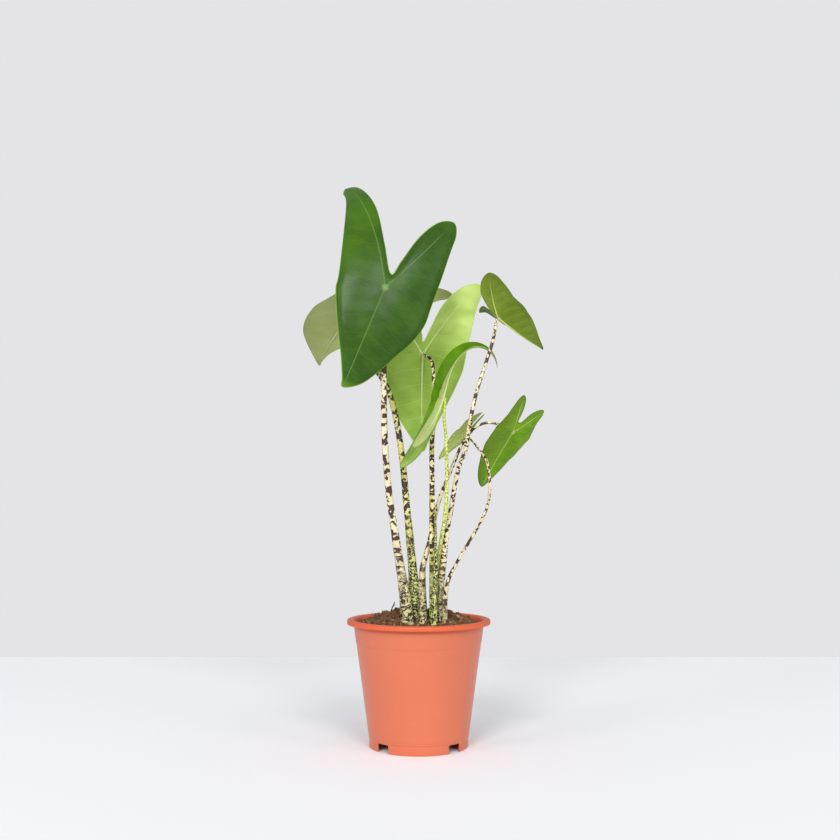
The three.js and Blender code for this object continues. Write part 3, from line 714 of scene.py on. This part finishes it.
def add_blade(name, leaf, upper_look, under_look):
    """A blade: rings of points from the stem joint to the outline, on both sides of a thin sheet."""
    outline = blade_outline(leaf, OUTLINE_STEPS)
    count = len(outline)
    share = 1 - (1 - np.arange(1, BLADE_RINGS + 1) / BLADE_RINGS) ** 1.45
    flat = np.vstack([[0, 0], (share[:, None, None] * outline[None]).reshape(-1, 2)])
    edge = edge_distance(flat, outline)
    costa = costa_measures(leaf, flat)
    relief = blade_relief(leaf, upper_look, flat, costa, edge)
    half_thick = SURFACE_HALF * (0.45 + 0.55 * smooth_step(edge, 0, 4))
    upper = on_blade(leaf, flat, relief + half_thick)
    lower = on_blade(leaf, flat, relief - half_thick)
    layer = len(flat)
    faces = []
    under = []

    def add_both(corners):
        faces.append(tuple(corners))
        faces.append(tuple(layer + corner for corner in reversed(corners)))
        under.extend((0, 1))

    rim = 1 + (BLADE_RINGS - 1) * count
    for j in range(count):
        after = (j + 1) % count
        add_both((0, 1 + j, 1 + after))
        for inner in range(1, rim, count):
            outer = inner + count
            add_both((inner + j, outer + j, outer + after, inner + after))
        faces.append((rim + j, layer + rim + j, layer + rim + after, rim + after))
        under.append(1)
    measures = {"blade_plane": np.column_stack([flat, edge]), "blade_costa": costa}
    add_piece(f"leaf_{name}", np.vstack([upper, lower]), faces,
              leaf_material(f"leaf_{name}_upper", leaf, upper_look, False), f"leaf_{name}",
              replaced=(f"blade_{name}",),
              second=leaf_material(f"leaf_{name}_under", leaf, under_look, True), under=under,
              attributes={key: np.vstack([values, values]) for key, values in measures.items()})
    add_ribs(name, leaf, upper_look, under_look)


def add_ribs(name, leaf, upper_look, under_look):
    """The raised midrib and the two lobe veins under the blade, each a tapering rounded ridge."""
    midrib = np.stack([np.zeros(RIB_POINTS), np.linspace(0, 0.93 * leaf["size"], RIB_POINTS)], -1)
    lines = [(midrib, 0.62, 0.16)]
    for half, mirror in enumerate(MIRRORS):
        lines.append((costa_line(leaf, half)[:COSTA_POINTS] * mirror, 0.5, 0.12))
    outline = blade_outline(leaf, 4)
    ridges = []
    along = []
    for flat, thick, thin in lines:
        flat[:, 0] = np.where(np.abs(flat[:, 0]) < 1e-6, 1e-6, flat[:, 0])
        radii = leaf["radii"][2] * np.linspace(thick, thin, len(flat))
        costa = costa_measures(leaf, flat)
        relief = blade_relief(leaf, upper_look, flat, costa, edge_distance(flat, outline))
        ridges.append(tube(on_blade(leaf, flat, relief - radii + RIB_SUNK), radii, RIB_SIDES))
        along += [*np.repeat(np.arange(len(flat)), RIB_SIDES), 0, len(flat) - 1]
    points, faces = joined(ridges)
    material = rib_material(f"ribs_{name}", under_look["rib_colour"], under_look["vein"])
    add_piece(f"ribs_{name}", points, faces, material, f"leaf_{name}", attributes={"along": along})


# ---------------------------------------------------------------- petioles


def stem_radius(radii, share):
    foot, middle, top = radii
    low = middle + (foot - middle) * np.clip(1 - share / SWELLING, 0, 1) ** 1.5
    high = middle + (top - middle) * (share - SWELLING) / (1 - SWELLING)
    return np.where(share < SWELLING, low, high)


def add_stem(name, replaced, route, radii, material, slot, leaf=None):
    """A petiole that swells at its foot, and at its top flows into the underside of its blade."""
    if leaf:
        upper = blade_axes(leaf)[2]
        junction = np.array(leaf["junction"])
        route = [*route, junction - upper * (BLADE_CLEARANCE + radii[2])]
    centres, along = smooth_route(route, STEM_SPACING)
    wobble = 0.05 * np.sin(along / 11 + radii[0]) + 0.03 * np.sin(along / 4.3 + radii[1])
    thickness = stem_radius(radii, along / along[-1]) * (1 + wobble * np.exp(-along / 120))
    if leaf:
        steps = np.arange(1, JOIN_STEPS + 1)
        into_blade = junction - upper * 0.55 * radii[2] - centres[-1]
        centres = np.vstack([centres, centres[-1] + into_blade * steps[:, None] / JOIN_STEPS])
        thickness = np.concatenate([thickness, thickness[-1] * np.linspace(0.98, 0.62, JOIN_STEPS)])
        along = np.concatenate([along, along[-1] + steps])
    points, faces = tube(centres, thickness, STEM_SIDES)
    angles = np.tile(np.arange(STEM_SIDES) / STEM_SIDES * 2 * np.pi, len(centres))
    around = np.vstack([np.stack([np.cos(angles), np.sin(angles)], -1), np.zeros((2, 2))])
    lengths = np.concatenate([np.repeat(along, STEM_SIDES), along[[0, -1]]])
    skin = np.column_stack([around * SKIN_RADIUS, lengths])
    add_piece(name, points, faces, material, slot, replaced=(replaced,),
              attributes={"skin": skin, "along": lengths})


# ---------------------------------------------------------------- pot


def add_pot():
    """The pot: a turned, rounded profile with four foot notches and the drain holes cut out."""
    body_foot = FOOT_RADIUS + BODY_STEP
    body_top = RIM_RADIUS - LIP_WIDTH
    under_lip = POT_HEIGHT - LIP_HEIGHT
    skirt = RIM_RADIUS - LIP_SKIRT
    band_share = (BAND_HEIGHT - FOOT_HEIGHT) / (under_lip - FOOT_HEIGHT)
    band_radius = body_foot + (body_top - body_foot) * band_share
    profile = [
        (0, FLOOR_HEIGHT), (FOOT_RADIUS - WALL, FLOOR_HEIGHT), (FOOT_RADIUS - WALL, 0), (FOOT_RADIUS, 0),
        (FOOT_RADIUS, FOOT_HEIGHT - 3), (FOOT_RADIUS + 0.6, FOOT_HEIGHT - 2.6),
        (FOOT_RADIUS + 0.6, FOOT_HEIGHT - 0.6), (body_foot, FOOT_HEIGHT),
        (band_radius - BAND_STEP, BAND_HEIGHT), (band_radius, BAND_HEIGHT + 0.6),
        (body_top, under_lip + 2.4), (skirt, under_lip + 2.9), (skirt, under_lip),
        (RIM_RADIUS, under_lip), (RIM_RADIUS, POT_HEIGHT - 1.6), (RIM_RADIUS - 0.7, POT_HEIGHT - 0.4),
        (RIM_RADIUS - 1.8, POT_HEIGHT), (body_top + 0.5, POT_HEIGHT), (body_top - 0.7, POT_HEIGHT - 0.8),
        (body_top - WALL, POT_HEIGHT - 3), (band_radius - WALL, BAND_HEIGHT),
        (body_foot - WALL, FOOT_HEIGHT + 1), (body_foot - WALL - 1.5, FLOOR_HEIGHT + WALL),
        (0, FLOOR_HEIGHT + WALL),
    ]
    points, faces = lathe(round_corners(profile, 0.55), POT_SIDES)
    pot = add_piece("pot", points, faces, pot_material(), "pot_plastic", replaced=("nursery_pot",))
    cutters = [foot_notch((i + 0.5) * 2 * math.pi / FEET_NOTCHES) for i in range(FEET_NOTCHES)]
    for holes, ring in DRAIN_RINGS:
        cutters += [drain_hole(ring, i * 2 * math.pi / holes) for i in range(holes)]
    for cutter in cutters:
        cut = pot.modifiers.new("cut", "BOOLEAN")
        cut.operation = "DIFFERENCE"
        cut.solver = "EXACT"
        cut.object = cutter
    bpy.context.view_layer.update()
    shaped = bpy.data.meshes.new_from_object(pot.evaluated_get(bpy.context.evaluated_depsgraph_get()))
    shaped.name = "pot"
    shaped.polygons.foreach_set("use_smooth", np.ones(len(shaped.polygons), dtype=bool))
    shaped.set_sharp_from_angle(angle=math.radians(POT_SHARP))
    pot.modifiers.clear()
    pot.data = shaped
    for cutter in cutters:
        bpy.data.meshes.remove(cutter.data)


def cutter_object(points, faces, turn):
    """A closed body, turned about the pot's axis, that a boolean takes away."""
    spin = np.array([[math.cos(turn), -math.sin(turn), 0], [math.sin(turn), math.cos(turn), 0], [0, 0, 1]])
    mesh = bpy.data.meshes.new("cutter")
    mesh.from_pydata(((np.asarray(points, float) @ spin.T) * MM + AXIS).tolist(), [], faces)
    mesh.update()
    cutter = bpy.data.objects.new("cutter", mesh)
    bpy.context.scene.collection.objects.link(cutter)
    return cutter


def foot_notch(turn):
    """The cutter for a foot notch: upright sides, with its upper corners rounded."""
    half = NOTCH_WIDTH / 2
    corner = 1.6
    bow = [(half - corner + corner * math.sin(a), NOTCH_HEIGHT - corner + corner * math.cos(a))
           for a in np.linspace(math.pi / 2, 0, 5)]
    outline = [(half, -5), *bow, *[(-y, z) for y, z in bow[::-1]], (-half, -5)]
    count = len(outline)
    points = [(FOOT_RADIUS + x, y, z) for x in (-10, 10) for y, z in outline]
    faces = [(i, (i + 1) % count, count + (i + 1) % count, count + i) for i in range(count)]
    faces += [tuple(range(count))[::-1], tuple(range(count, 2 * count))]
    return cutter_object(points, faces, turn)


def drain_hole(ring, turn):
    """The cutter for a drain hole, ring mm from the pot's axis."""
    low, high = FLOOR_HEIGHT - 4, FLOOR_HEIGHT + 4
    points, faces = lathe([(0, low), (DRAIN_RADIUS, low), (DRAIN_RADIUS, high), (0, high)], 24)
    return cutter_object(points + (ring, 0, 0), faces, turn)


# ---------------------------------------------------------------- soil


def soil_surface(x, y):
    """The peat is heaped at the sides and back, and lies lower in front of the stems."""
    reach = np.minimum(1, np.hypot(x, y) / (RIM_RADIUS - LIP_WIDTH))
    mound = (SOIL_CROWN - SOIL_EDGE) * (1 - reach ** 2.2)
    back_rise = 4 * np.tanh(y / 20) * (1 - reach ** 6)
    lumps = 1.2 * np.sin(x / 9 + 1) * np.cos(y / 8 - 0.6) * (1 - reach ** 8)
    across = (x - HOLLOW_AT[0]) / HOLLOW_SPREAD[0]
    ahead = (y - HOLLOW_AT[1]) / HOLLOW_SPREAD[1]
    return SOIL_EDGE + mound + back_rise + lumps - HOLLOW_DEPTH * np.exp(-across ** 2 - ahead ** 2)


def ripple_field(count, shortest, longest):
    """A fixed set of random ripples, which together make a rough surface."""
    turn = RANDOM.uniform(0, 2 * np.pi, count)
    wave = np.exp(RANDOM.uniform(np.log(shortest), np.log(longest), count))
    shift = RANDOM.uniform(0, 2 * np.pi, count)
    return turn, wave, shift


def rough(field, x, y):
    turn, wave, shift = field
    phase = 2 * np.pi * (np.outer(x, np.cos(turn)) + np.outer(y, np.sin(turn))) / wave + shift
    return (np.sin(phase) * wave).sum(1) / wave.sum() * math.sqrt(len(wave))


def rough_soil(field, x, y):
    return soil_surface(x, y) + SOIL_ROUGHNESS * rough(field, x, y)


def add_soil():
    """The body of the soil, with a rough top, and the loose crumbs and fibres on it."""
    field = ripple_field(70, 3.0, 16.0)
    edge = POT_INSIDE - 0.7
    low = FLOOR_HEIGHT + WALL + 0.4
    foot = FOOT_RADIUS - WALL - 1.8
    side = [(0, low), (foot, low), (foot + 2.4, FOOT_HEIGHT + 2), SOIL_WAIST, (edge - 0.6, SOIL_EDGE - 3)]
    top = [(r, SOIL_EDGE) for r in np.linspace(edge, 0, SOIL_RINGS)]

    def height(x, y, z):
        return np.where(z > SOIL_EDGE - 1, rough_soil(field, x, y), z)

    points, faces = lathe([*side, *top], SOIL_SIDES, height)
    tone = np.clip(0.3 + 0.3 * rough(field, points[:, 0] * 2, points[:, 1] * 2), 0, 1)
    add_piece("soil_body", points, faces, soil_material("soil_body", colour(120, 84, 58)), "potting_soil",
              replaced=("soil",), attributes={"tone": tone})
    add_crumbs(field)
    add_fibres(field)


def random_turns(count):
    """Rotation matrices, all equally likely, from random quaternions."""
    q = RANDOM.normal(size=(count, 4))
    w, x, y, z = (q / np.linalg.norm(q, axis=1)[:, None]).T
    return np.stack([
        np.stack([1 - 2 * (y * y + z * z), 2 * (x * y - z * w), 2 * (x * z + y * w)], -1),
        np.stack([2 * (x * y + z * w), 1 - 2 * (x * x + z * z), 2 * (y * z - x * w)], -1),
        np.stack([2 * (x * z - y * w), 2 * (y * z + x * w), 1 - 2 * (x * x + y * y)], -1),
    ], 1)


def add_crumbs(field):
    """Loose grains of peat, each a small lopsided twenty-sided lump, half sunk in the surface."""
    golden = (1 + math.sqrt(5)) / 2
    base = np.array([(-1, golden, 0), (1, golden, 0), (-1, -golden, 0), (1, -golden, 0), (0, -1, golden),
                     (0, 1, golden), (0, -1, -golden), (0, 1, -golden), (golden, 0, -1), (golden, 0, 1),
                     (-golden, 0, -1), (-golden, 0, 1)]) / math.hypot(1, golden)
    sides = [(0, 11, 5), (0, 5, 1), (0, 1, 7), (0, 7, 10), (0, 10, 11), (1, 5, 9), (5, 11, 4), (11, 10, 2),
             (10, 7, 6), (7, 1, 8), (3, 9, 4), (3, 4, 2), (3, 2, 6), (3, 6, 8), (3, 8, 9), (4, 9, 5),
             (2, 4, 11), (6, 2, 10), (8, 6, 7), (9, 8, 1)]
    corners = len(base)
    radius = (POT_INSIDE - 2.0) * np.sqrt(RANDOM.uniform(0, 1, CRUMBS))
    turn = RANDOM.uniform(0, 2 * np.pi, CRUMBS)
    x, y = radius * np.cos(turn), radius * np.sin(turn)
    size = 0.55 + 1.5 * RANDOM.uniform(0, 1, CRUMBS) ** 3.2
    centre = np.stack([x, y, rough_soil(field, x, y) + 0.25 * size], -1)
    shape = base[None] * (1 + 0.28 * RANDOM.normal(size=(CRUMBS, corners, 1)).clip(-1.5, 1.5))
    shape = shape * RANDOM.uniform(0.5, 1.35, (CRUMBS, 1, 3))
    grains = np.einsum("nij,nkj->nki", random_turns(CRUMBS), shape) * size[:, None, None] + centre[:, None]
    faces = [tuple(corners * i + corner for corner in side) for i in range(CRUMBS) for side in sides]
    tone = np.repeat(RANDOM.uniform(0, 1, CRUMBS) ** 2.5, corners)
    add_piece("soil_crumbs", grains.reshape(-1, 3), faces,
              soil_material("soil_crumbs", colour(178, 134, 96)), "potting_soil",
              attributes={"tone": tone}, sharp=CRUMB_SHARP)


def add_fibres(field):
    """Loose peat fibres and rootlets lying on the soil, some with an end in the air."""
    fibres = []
    tones = []
    t = np.linspace(0, 1, FIBRE_POINTS)
    for _ in range(FIBRES):
        radius = FIBRE_REACH * math.sqrt(RANDOM.uniform(0.04, 1))
        turn = RANDOM.uniform(0, 2 * math.pi)
        heading = RANDOM.uniform(0, 2 * math.pi)
        bow = RANDOM.uniform(-1.6, 1.6)
        step = RANDOM.uniform(4, 15) / FIBRE_POINTS
        lift = RANDOM.uniform(0, 1) ** 4 * 6
        angle = heading + bow * t
        x = radius * math.cos(turn) + np.cumsum(np.cos(angle)) * step
        y = radius * math.sin(turn) + np.cumsum(np.sin(angle)) * step
        inside = np.minimum(1, FIBRE_LIMIT / np.maximum(np.hypot(x, y), 1))
        x, y = x * inside, y * inside
        z = rough_soil(field, x, y) + 0.6 + lift * t * t
        girth = RANDOM.uniform(0.16, 0.42)
        shake = 1e-4 * RANDOM.normal(size=(FIBRE_POINTS, 3))
        points, faces = tube(np.stack([x, y, z], -1) + shake, girth * (1 - 0.6 * t), FIBRE_SIDES)
        fibres.append((points, faces))
        tones.append(np.full(len(points), RANDOM.uniform(0, 1)))
    points, faces = joined(fibres)
    add_piece("soil_fibres", points, faces, soil_material("soil_fibres", colour(176, 134, 94)),
              "potting_soil", attributes={"tone": np.concatenate(tones)})


def add_chip(name, chip, material):
    """A flat round lump of old corm, with a raised, broken rim round a hollow."""
    lump = [(0, -0.5), (0.5, -0.5), (0.85, -0.35), (1, -0.05), (0.98, 0.25), (0.8, 0.5), (0.6, 0.46),
            (0.45, 0.2), (0.25, 0.12), (0, 0.2)]
    profile = round_corners([(r * chip["radius"], z * chip["height"]) for r, z in lump], 0.8)
    points, faces = lathe(profile, CHIP_SIDES)
    angle = np.arctan2(points[:, 1], points[:, 0])
    ragged = 1 + 0.07 * np.sin(3 * angle + 1) + 0.05 * np.sin(7 * angle) + 0.03 * np.sin(13 * angle + 2)
    points[:, :2] *= ragged[:, None] * 0.93
    points[:, 2] *= 0.9 + 0.1 * np.sin(5 * angle)
    tilt = math.radians(chip["tilt"])
    lean = np.array([[math.cos(tilt), 0, math.sin(tilt)], [0, 1, 0], [-math.sin(tilt), 0, math.cos(tilt)]])
    place = np.array([*chip["at"], soil_surface(*chip["at"]) + chip["lift"]])
    add_piece(f"corm_{name}", points @ lean.T + place, faces, material, "bark", replaced=(name,))


def add_twig(name, twig, material):
    """A thin, knobbly twig with one short branch."""
    start, end = (np.array([*twig[key], soil_surface(*twig[key]) + lift])
                  for key, lift in zip(("start", "end"), twig["lifts"]))
    centres, along = smooth_route([start, (start + end) / 2 + (0, 0, TWIG_BOW), end], TWIG_SPACING)
    radii = twig["radius"] * (1 - 0.35 * along / along[-1])
    radii = radii * (1 + 0.16 * np.sin(along * 1.9) + 0.1 * np.sin(along * 4.1 + 1))
    fork = centres[len(centres) // 2]
    branch_end = fork + (3.2, -1.5, 3.8)
    branch_middle = (fork + branch_end) / 2 + (0.5, 0, 0)
    branch, branch_along = smooth_route([fork, branch_middle, branch_end], TWIG_SPACING)
    branch_radii = 0.45 * twig["radius"] * (1 - 0.5 * branch_along / branch_along[-1])
    points, faces = joined([tube(centres, radii, TWIG_SIDES[0]), tube(branch, branch_radii, TWIG_SIDES[1])])
    add_piece(f"dry_{name}", points, faces, material, "twig", replaced=(name,))


# ---------------------------------------------------------------- looks of the stems and blades

# rate and across: how close the marks lie along and across a stem. cover: how much of it they take.
# foot: the stretch in mm over which the marbled foot gives way to the marks above it. drift: where
# in the noise the marks are taken from, so that no two stems match.
CREAM = dict(slot="stem_cream", pale=colour(226, 216, 182), pale_warm=colour(216, 200, 154),
             pale_foot=colour(206, 204, 148), dark=colour(66, 44, 34), across=0.2, specks=0.3)
OLIVE = dict(slot="stem_olive", pale=colour(214, 208, 136), pale_warm=colour(196, 184, 92),
             pale_foot=colour(196, 202, 120), dark=colour(44, 38, 24), across=0.2, specks=0.35)
GREEN = dict(CREAM, slot="stem_green", pale=colour(216, 228, 142), pale_warm=colour(200, 214, 96),
             dark=colour(146, 150, 60), across=0.45)
STEM_LOOKS = {
    "broad_front": dict(CREAM, rate=0.19, cover=0.475, foot=(50, 130), drift=(3, 1, 0)),
    "sage_back": dict(OLIVE, rate=0.25, cover=0.5, foot=(90, 170), drift=(7, 2, 5)),
    "light_middle": dict(OLIVE, pale=colour(232, 222, 172), rate=0.24, cover=0.495, foot=(40, 120),
                         drift=(1, 8, 9)),
    "young_folded": dict(GREEN, rate=0.4, cover=0.47, foot=(60, 150), drift=(4, 4, 2)),
    "olive_right": dict(CREAM, rate=0.26, cover=0.485, foot=(30, 110), drift=(9, 5, 1)),
    "small_right": dict(CREAM, rate=0.24, cover=0.49, foot=(30, 110), drift=(2, 6, 6)),
    "narrow_low": dict(CREAM, rate=0.22, cover=0.485, foot=(10, 60), drift=(6, 9, 3)),
}
SHEATH_LOOK = dict(OLIVE, slot="sheath", pale=colour(170, 172, 104), rate=0.45, cover=0.52,
                   foot=(120, 170), drift=(5, 5, 5))

# rib: half the midrib's width in mm. lateral, hatch, rib_strength, spot, tip and rim: how strongly
# each of them shows. quilt, roll and wave: the relief in mm, and roll_width and rim_width how far in
# from the margin they reach. patch: how fast a patch of another colour comes in, across and ahead.
UPPER = dict(rib=0.6, lateral=0.25, hatch=0.12, hatch_bump=0.35, rib_strength=0.6, spot=0.6, specular=0.16,
             tip=0.5, rim=0.75, rim_width=1.4, rough=0.38, coat=0.0, quilt=0.5, roll=0.8, roll_width=6,
             wave=0.5)
UNDER = dict(UPPER, lateral=0.45, rib_strength=0.8, rough=0.55, hatch_bump=0.25, specular=0.2)
SKIN_COLOURS = ("base", "second", "vein", "rib_colour", "tip_colour", "rim_colour")


def blade_look(general, *colours, **own):
    """The look of one side of a blade. The colours come in the order of SKIN_COLOURS."""
    return dict(general, **{key: colour(*rgb) for key, rgb in zip(SKIN_COLOURS, colours)}, **own)


LEAF_LOOKS = {
    "broad_front": (
        blade_look(UPPER, (36, 70, 6), (47, 84, 10), (104, 142, 66), (128, 166, 88), (112, 150, 24),
                   (120, 166, 30), patch=(0.010, -0.007), patch_colour=colour(58, 98, 5), roll=2.6,
                   roll_width=10, wave=0.2, rough=0.32, coat=0.16, specular=0.12, quilt=0.18,
                   rib_strength=0.4, lateral=0.14, rim=0.9, rim_width=1.8),
        blade_look(UNDER, (130, 158, 66), (146, 172, 80), (176, 196, 116), (196, 210, 144),
                   (140, 170, 60), (150, 180, 70))),
    "sage_back": (
        blade_look(UPPER, (58, 98, 20), (74, 116, 26), (116, 150, 74), (150, 182, 104), (110, 150, 40),
                   (116, 150, 50)),
        blade_look(UNDER, (164, 175, 104), (176, 186, 120), (178, 188, 128), (192, 202, 148),
                   (140, 158, 76), (124, 146, 56), lateral=0.5)),
    "light_middle": (
        blade_look(UPPER, (88, 138, 26), (104, 152, 36), (154, 190, 92), (180, 210, 120), (100, 140, 40),
                   (144, 180, 70)),
        blade_look(UNDER, (128, 162, 56), (144, 178, 70), (190, 212, 126), (206, 222, 154),
                   (84, 100, 44), (182, 208, 120), patch=(0.008, -0.011),
                   patch_colour=colour(198, 220, 124))),
    "young_folded": (
        blade_look(UPPER, (66, 108, 0), (88, 134, 2), (138, 180, 56), (166, 200, 80), (150, 176, 100),
                   (66, 108, 14), rib=0.5, tip=0.9, specular=0.06, patch=(0.0, -0.014),
                   patch_colour=colour(150, 172, 96)),
        blade_look(UNDER, (172, 190, 112), (186, 202, 128), (200, 214, 150), (208, 220, 160),
                   (150, 172, 100), (130, 162, 50), rib=0.5)),
    "olive_right": (
        blade_look(UPPER, (92, 136, 16), (106, 150, 24), (146, 180, 70), (184, 206, 112), (74, 108, 20),
                   (66, 98, 20)),
        blade_look(UNDER, (98, 120, 26), (112, 134, 40), (140, 160, 70), (196, 202, 112),
                   (72, 98, 22), (92, 120, 26))),
    "small_right": (
        blade_look(UPPER, (86, 132, 0), (110, 154, 8), (156, 190, 80), (196, 212, 122), (104, 134, 40),
                   (46, 78, 14), rib_strength=0.9, specular=0.1, patch=(0.03, 0.004),
                   patch_colour=colour(92, 112, 16)),
        blade_look(UNDER, (130, 158, 66), (144, 170, 80), (172, 194, 110), (192, 206, 132),
                   (112, 138, 50), (112, 148, 50))),
    "narrow_low": (
        blade_look(UPPER, (86, 130, 18), (100, 142, 26), (136, 170, 70), (172, 196, 100), (86, 122, 16),
                   (66, 98, 20)),
        blade_look(UNDER, (186, 204, 108), (196, 213, 122), (190, 205, 120), (200, 212, 140),
                   (104, 148, 20), (104, 140, 40), tip=0.9)),
}

# ---------------------------------------------------------------- assembly

add_pot()
add_soil()

for leaf_name, leaf in LEAVES.items():
    stem_look = STEM_LOOKS[leaf_name]
    add_stem(f"stem_{leaf_name}", f"petiole_{leaf_name}", leaf["route"], leaf["radii"],
             stem_material(f"stem_{leaf_name}", stem_look), stem_look["slot"], leaf)
    add_blade(leaf_name, leaf, *LEAF_LOOKS[leaf_name])

add_stem("old_sheath", "old_sheath", SHEATH["route"], SHEATH["radii"],
         stem_material("sheath", SHEATH_LOOK), "sheath")

bark = wood_material("bark", colour(110, 76, 48), colour(192, 146, 102))
dry_wood = wood_material("dry_wood", colour(34, 24, 18), colour(74, 54, 40))
for chip_name, chip in CHIPS.items():
    add_chip(chip_name, chip, bark)
for twig_name, twig in TWIGS.items():
    add_twig(twig_name, twig, dry_wood)

root_skin = wood_material("rhizome_skin", colour(96, 66, 44), colour(176, 140, 98))
for node in ("rhizome_left", "rhizome_right"):
    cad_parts[node].material_slots[0].material = root_skin

# ---------------------------------------------------------------- floor, lights and camera

CAMERA_BACK = 1.344
CAMERA_HEIGHT = 0.293
CAMERA_ASIDE = 0.0015
CAMERA_TILT = 3.9
CAMERA_LENS = 48
CAMERA_SENSOR = 36
FLOOR_SIDE = 3
FLOOR_FAR = 0.69
WORLD_LIGHT = 0.6
WORLD_SEEN = 1.0

floor_graph = Graph("studio_floor", Roughness=0.75, Specular_IOR_Level=0.2)
floor_graph.shade("Base Color", colour(248, 250, 254))
floor_mesh = bpy.data.meshes.new("floor")
floor_corners = [(-FLOOR_SIDE, -FLOOR_SIDE, 0), (FLOOR_SIDE, -FLOOR_SIDE, 0),
                 (FLOOR_SIDE, FLOOR_FAR, 0), (-FLOOR_SIDE, FLOOR_FAR, 0)]
floor_mesh.from_pydata(floor_corners, [], [(0, 1, 2, 3)])
floor_mesh.materials.append(floor_graph.material)
floor = bpy.data.objects.new("floor", floor_mesh)
bpy.context.scene.collection.objects.link(floor)


def add_lamp(name, kind, power):
    data = bpy.data.lights.new(name, kind)
    data.energy = power
    lamp = bpy.data.objects.new(name, data)
    bpy.context.scene.collection.objects.link(lamp)
    return lamp


def add_box(name, place, aim, width, height, power):
    """A soft box: an area light at place that looks at aim."""
    lamp = add_lamp(name, "AREA", power)
    lamp.data.shape = "RECTANGLE"
    lamp.data.size = width
    lamp.data.size_y = height
    lamp.location = place
    lamp.rotation_euler = (Vector(aim) - Vector(place)).to_track_quat("-Z", "Y").to_euler()


def add_sun(name, azimuth, elevation, softness, power):
    """An even, soft light from azimuth degrees to the camera's right of the front."""
    lamp = add_lamp(name, "SUN", power)
    lamp.data.angle = math.radians(softness)
    lamp.rotation_euler = (math.radians(90 - elevation), 0, math.radians(azimuth))


add_sun("left_key", azimuth=-18, elevation=27, softness=20, power=1.5)
add_sun("right_key", azimuth=19, elevation=27, softness=24, power=1.2)
add_box("left_box", (-1.5, -1.2, 1.0), aim=(0, 0, 0.4), width=0.5, height=1.4, power=6)
add_box("right_box", (1.4, -1.1, 0.9), aim=(0, 0, 0.4), width=0.4, height=1.4, power=4)

world = bpy.data.worlds.new("studio")
bpy.context.scene.world = world
world.use_nodes = True
tree = world.node_tree
background = tree.nodes["Background"]
background.inputs["Color"].default_value = colour(228, 228, 230)
seen = tree.nodes.new("ShaderNodeLightPath")
level = tree.nodes.new("ShaderNodeMapRange")
level.inputs["To Min"].default_value = WORLD_LIGHT
level.inputs["To Max"].default_value = WORLD_SEEN
tree.links.new(seen.outputs["Is Camera Ray"], level.inputs["Value"])
tree.links.new(level.outputs[0], background.inputs["Strength"])
bpy.context.scene.view_settings.view_transform = "Standard"

camera_data = bpy.data.cameras.new("camera")
camera_data.lens = CAMERA_LENS
camera_data.sensor_width = CAMERA_SENSOR
camera = bpy.data.objects.new("camera", camera_data)
camera.location = (AXIS[0] + CAMERA_ASIDE, AXIS[1] - CAMERA_BACK, CAMERA_HEIGHT)
camera.rotation_euler = (math.radians(90 + CAMERA_TILT), 0, 0)
bpy.context.scene.collection.objects.link(camera)
bpy.context.scene.camera = camera
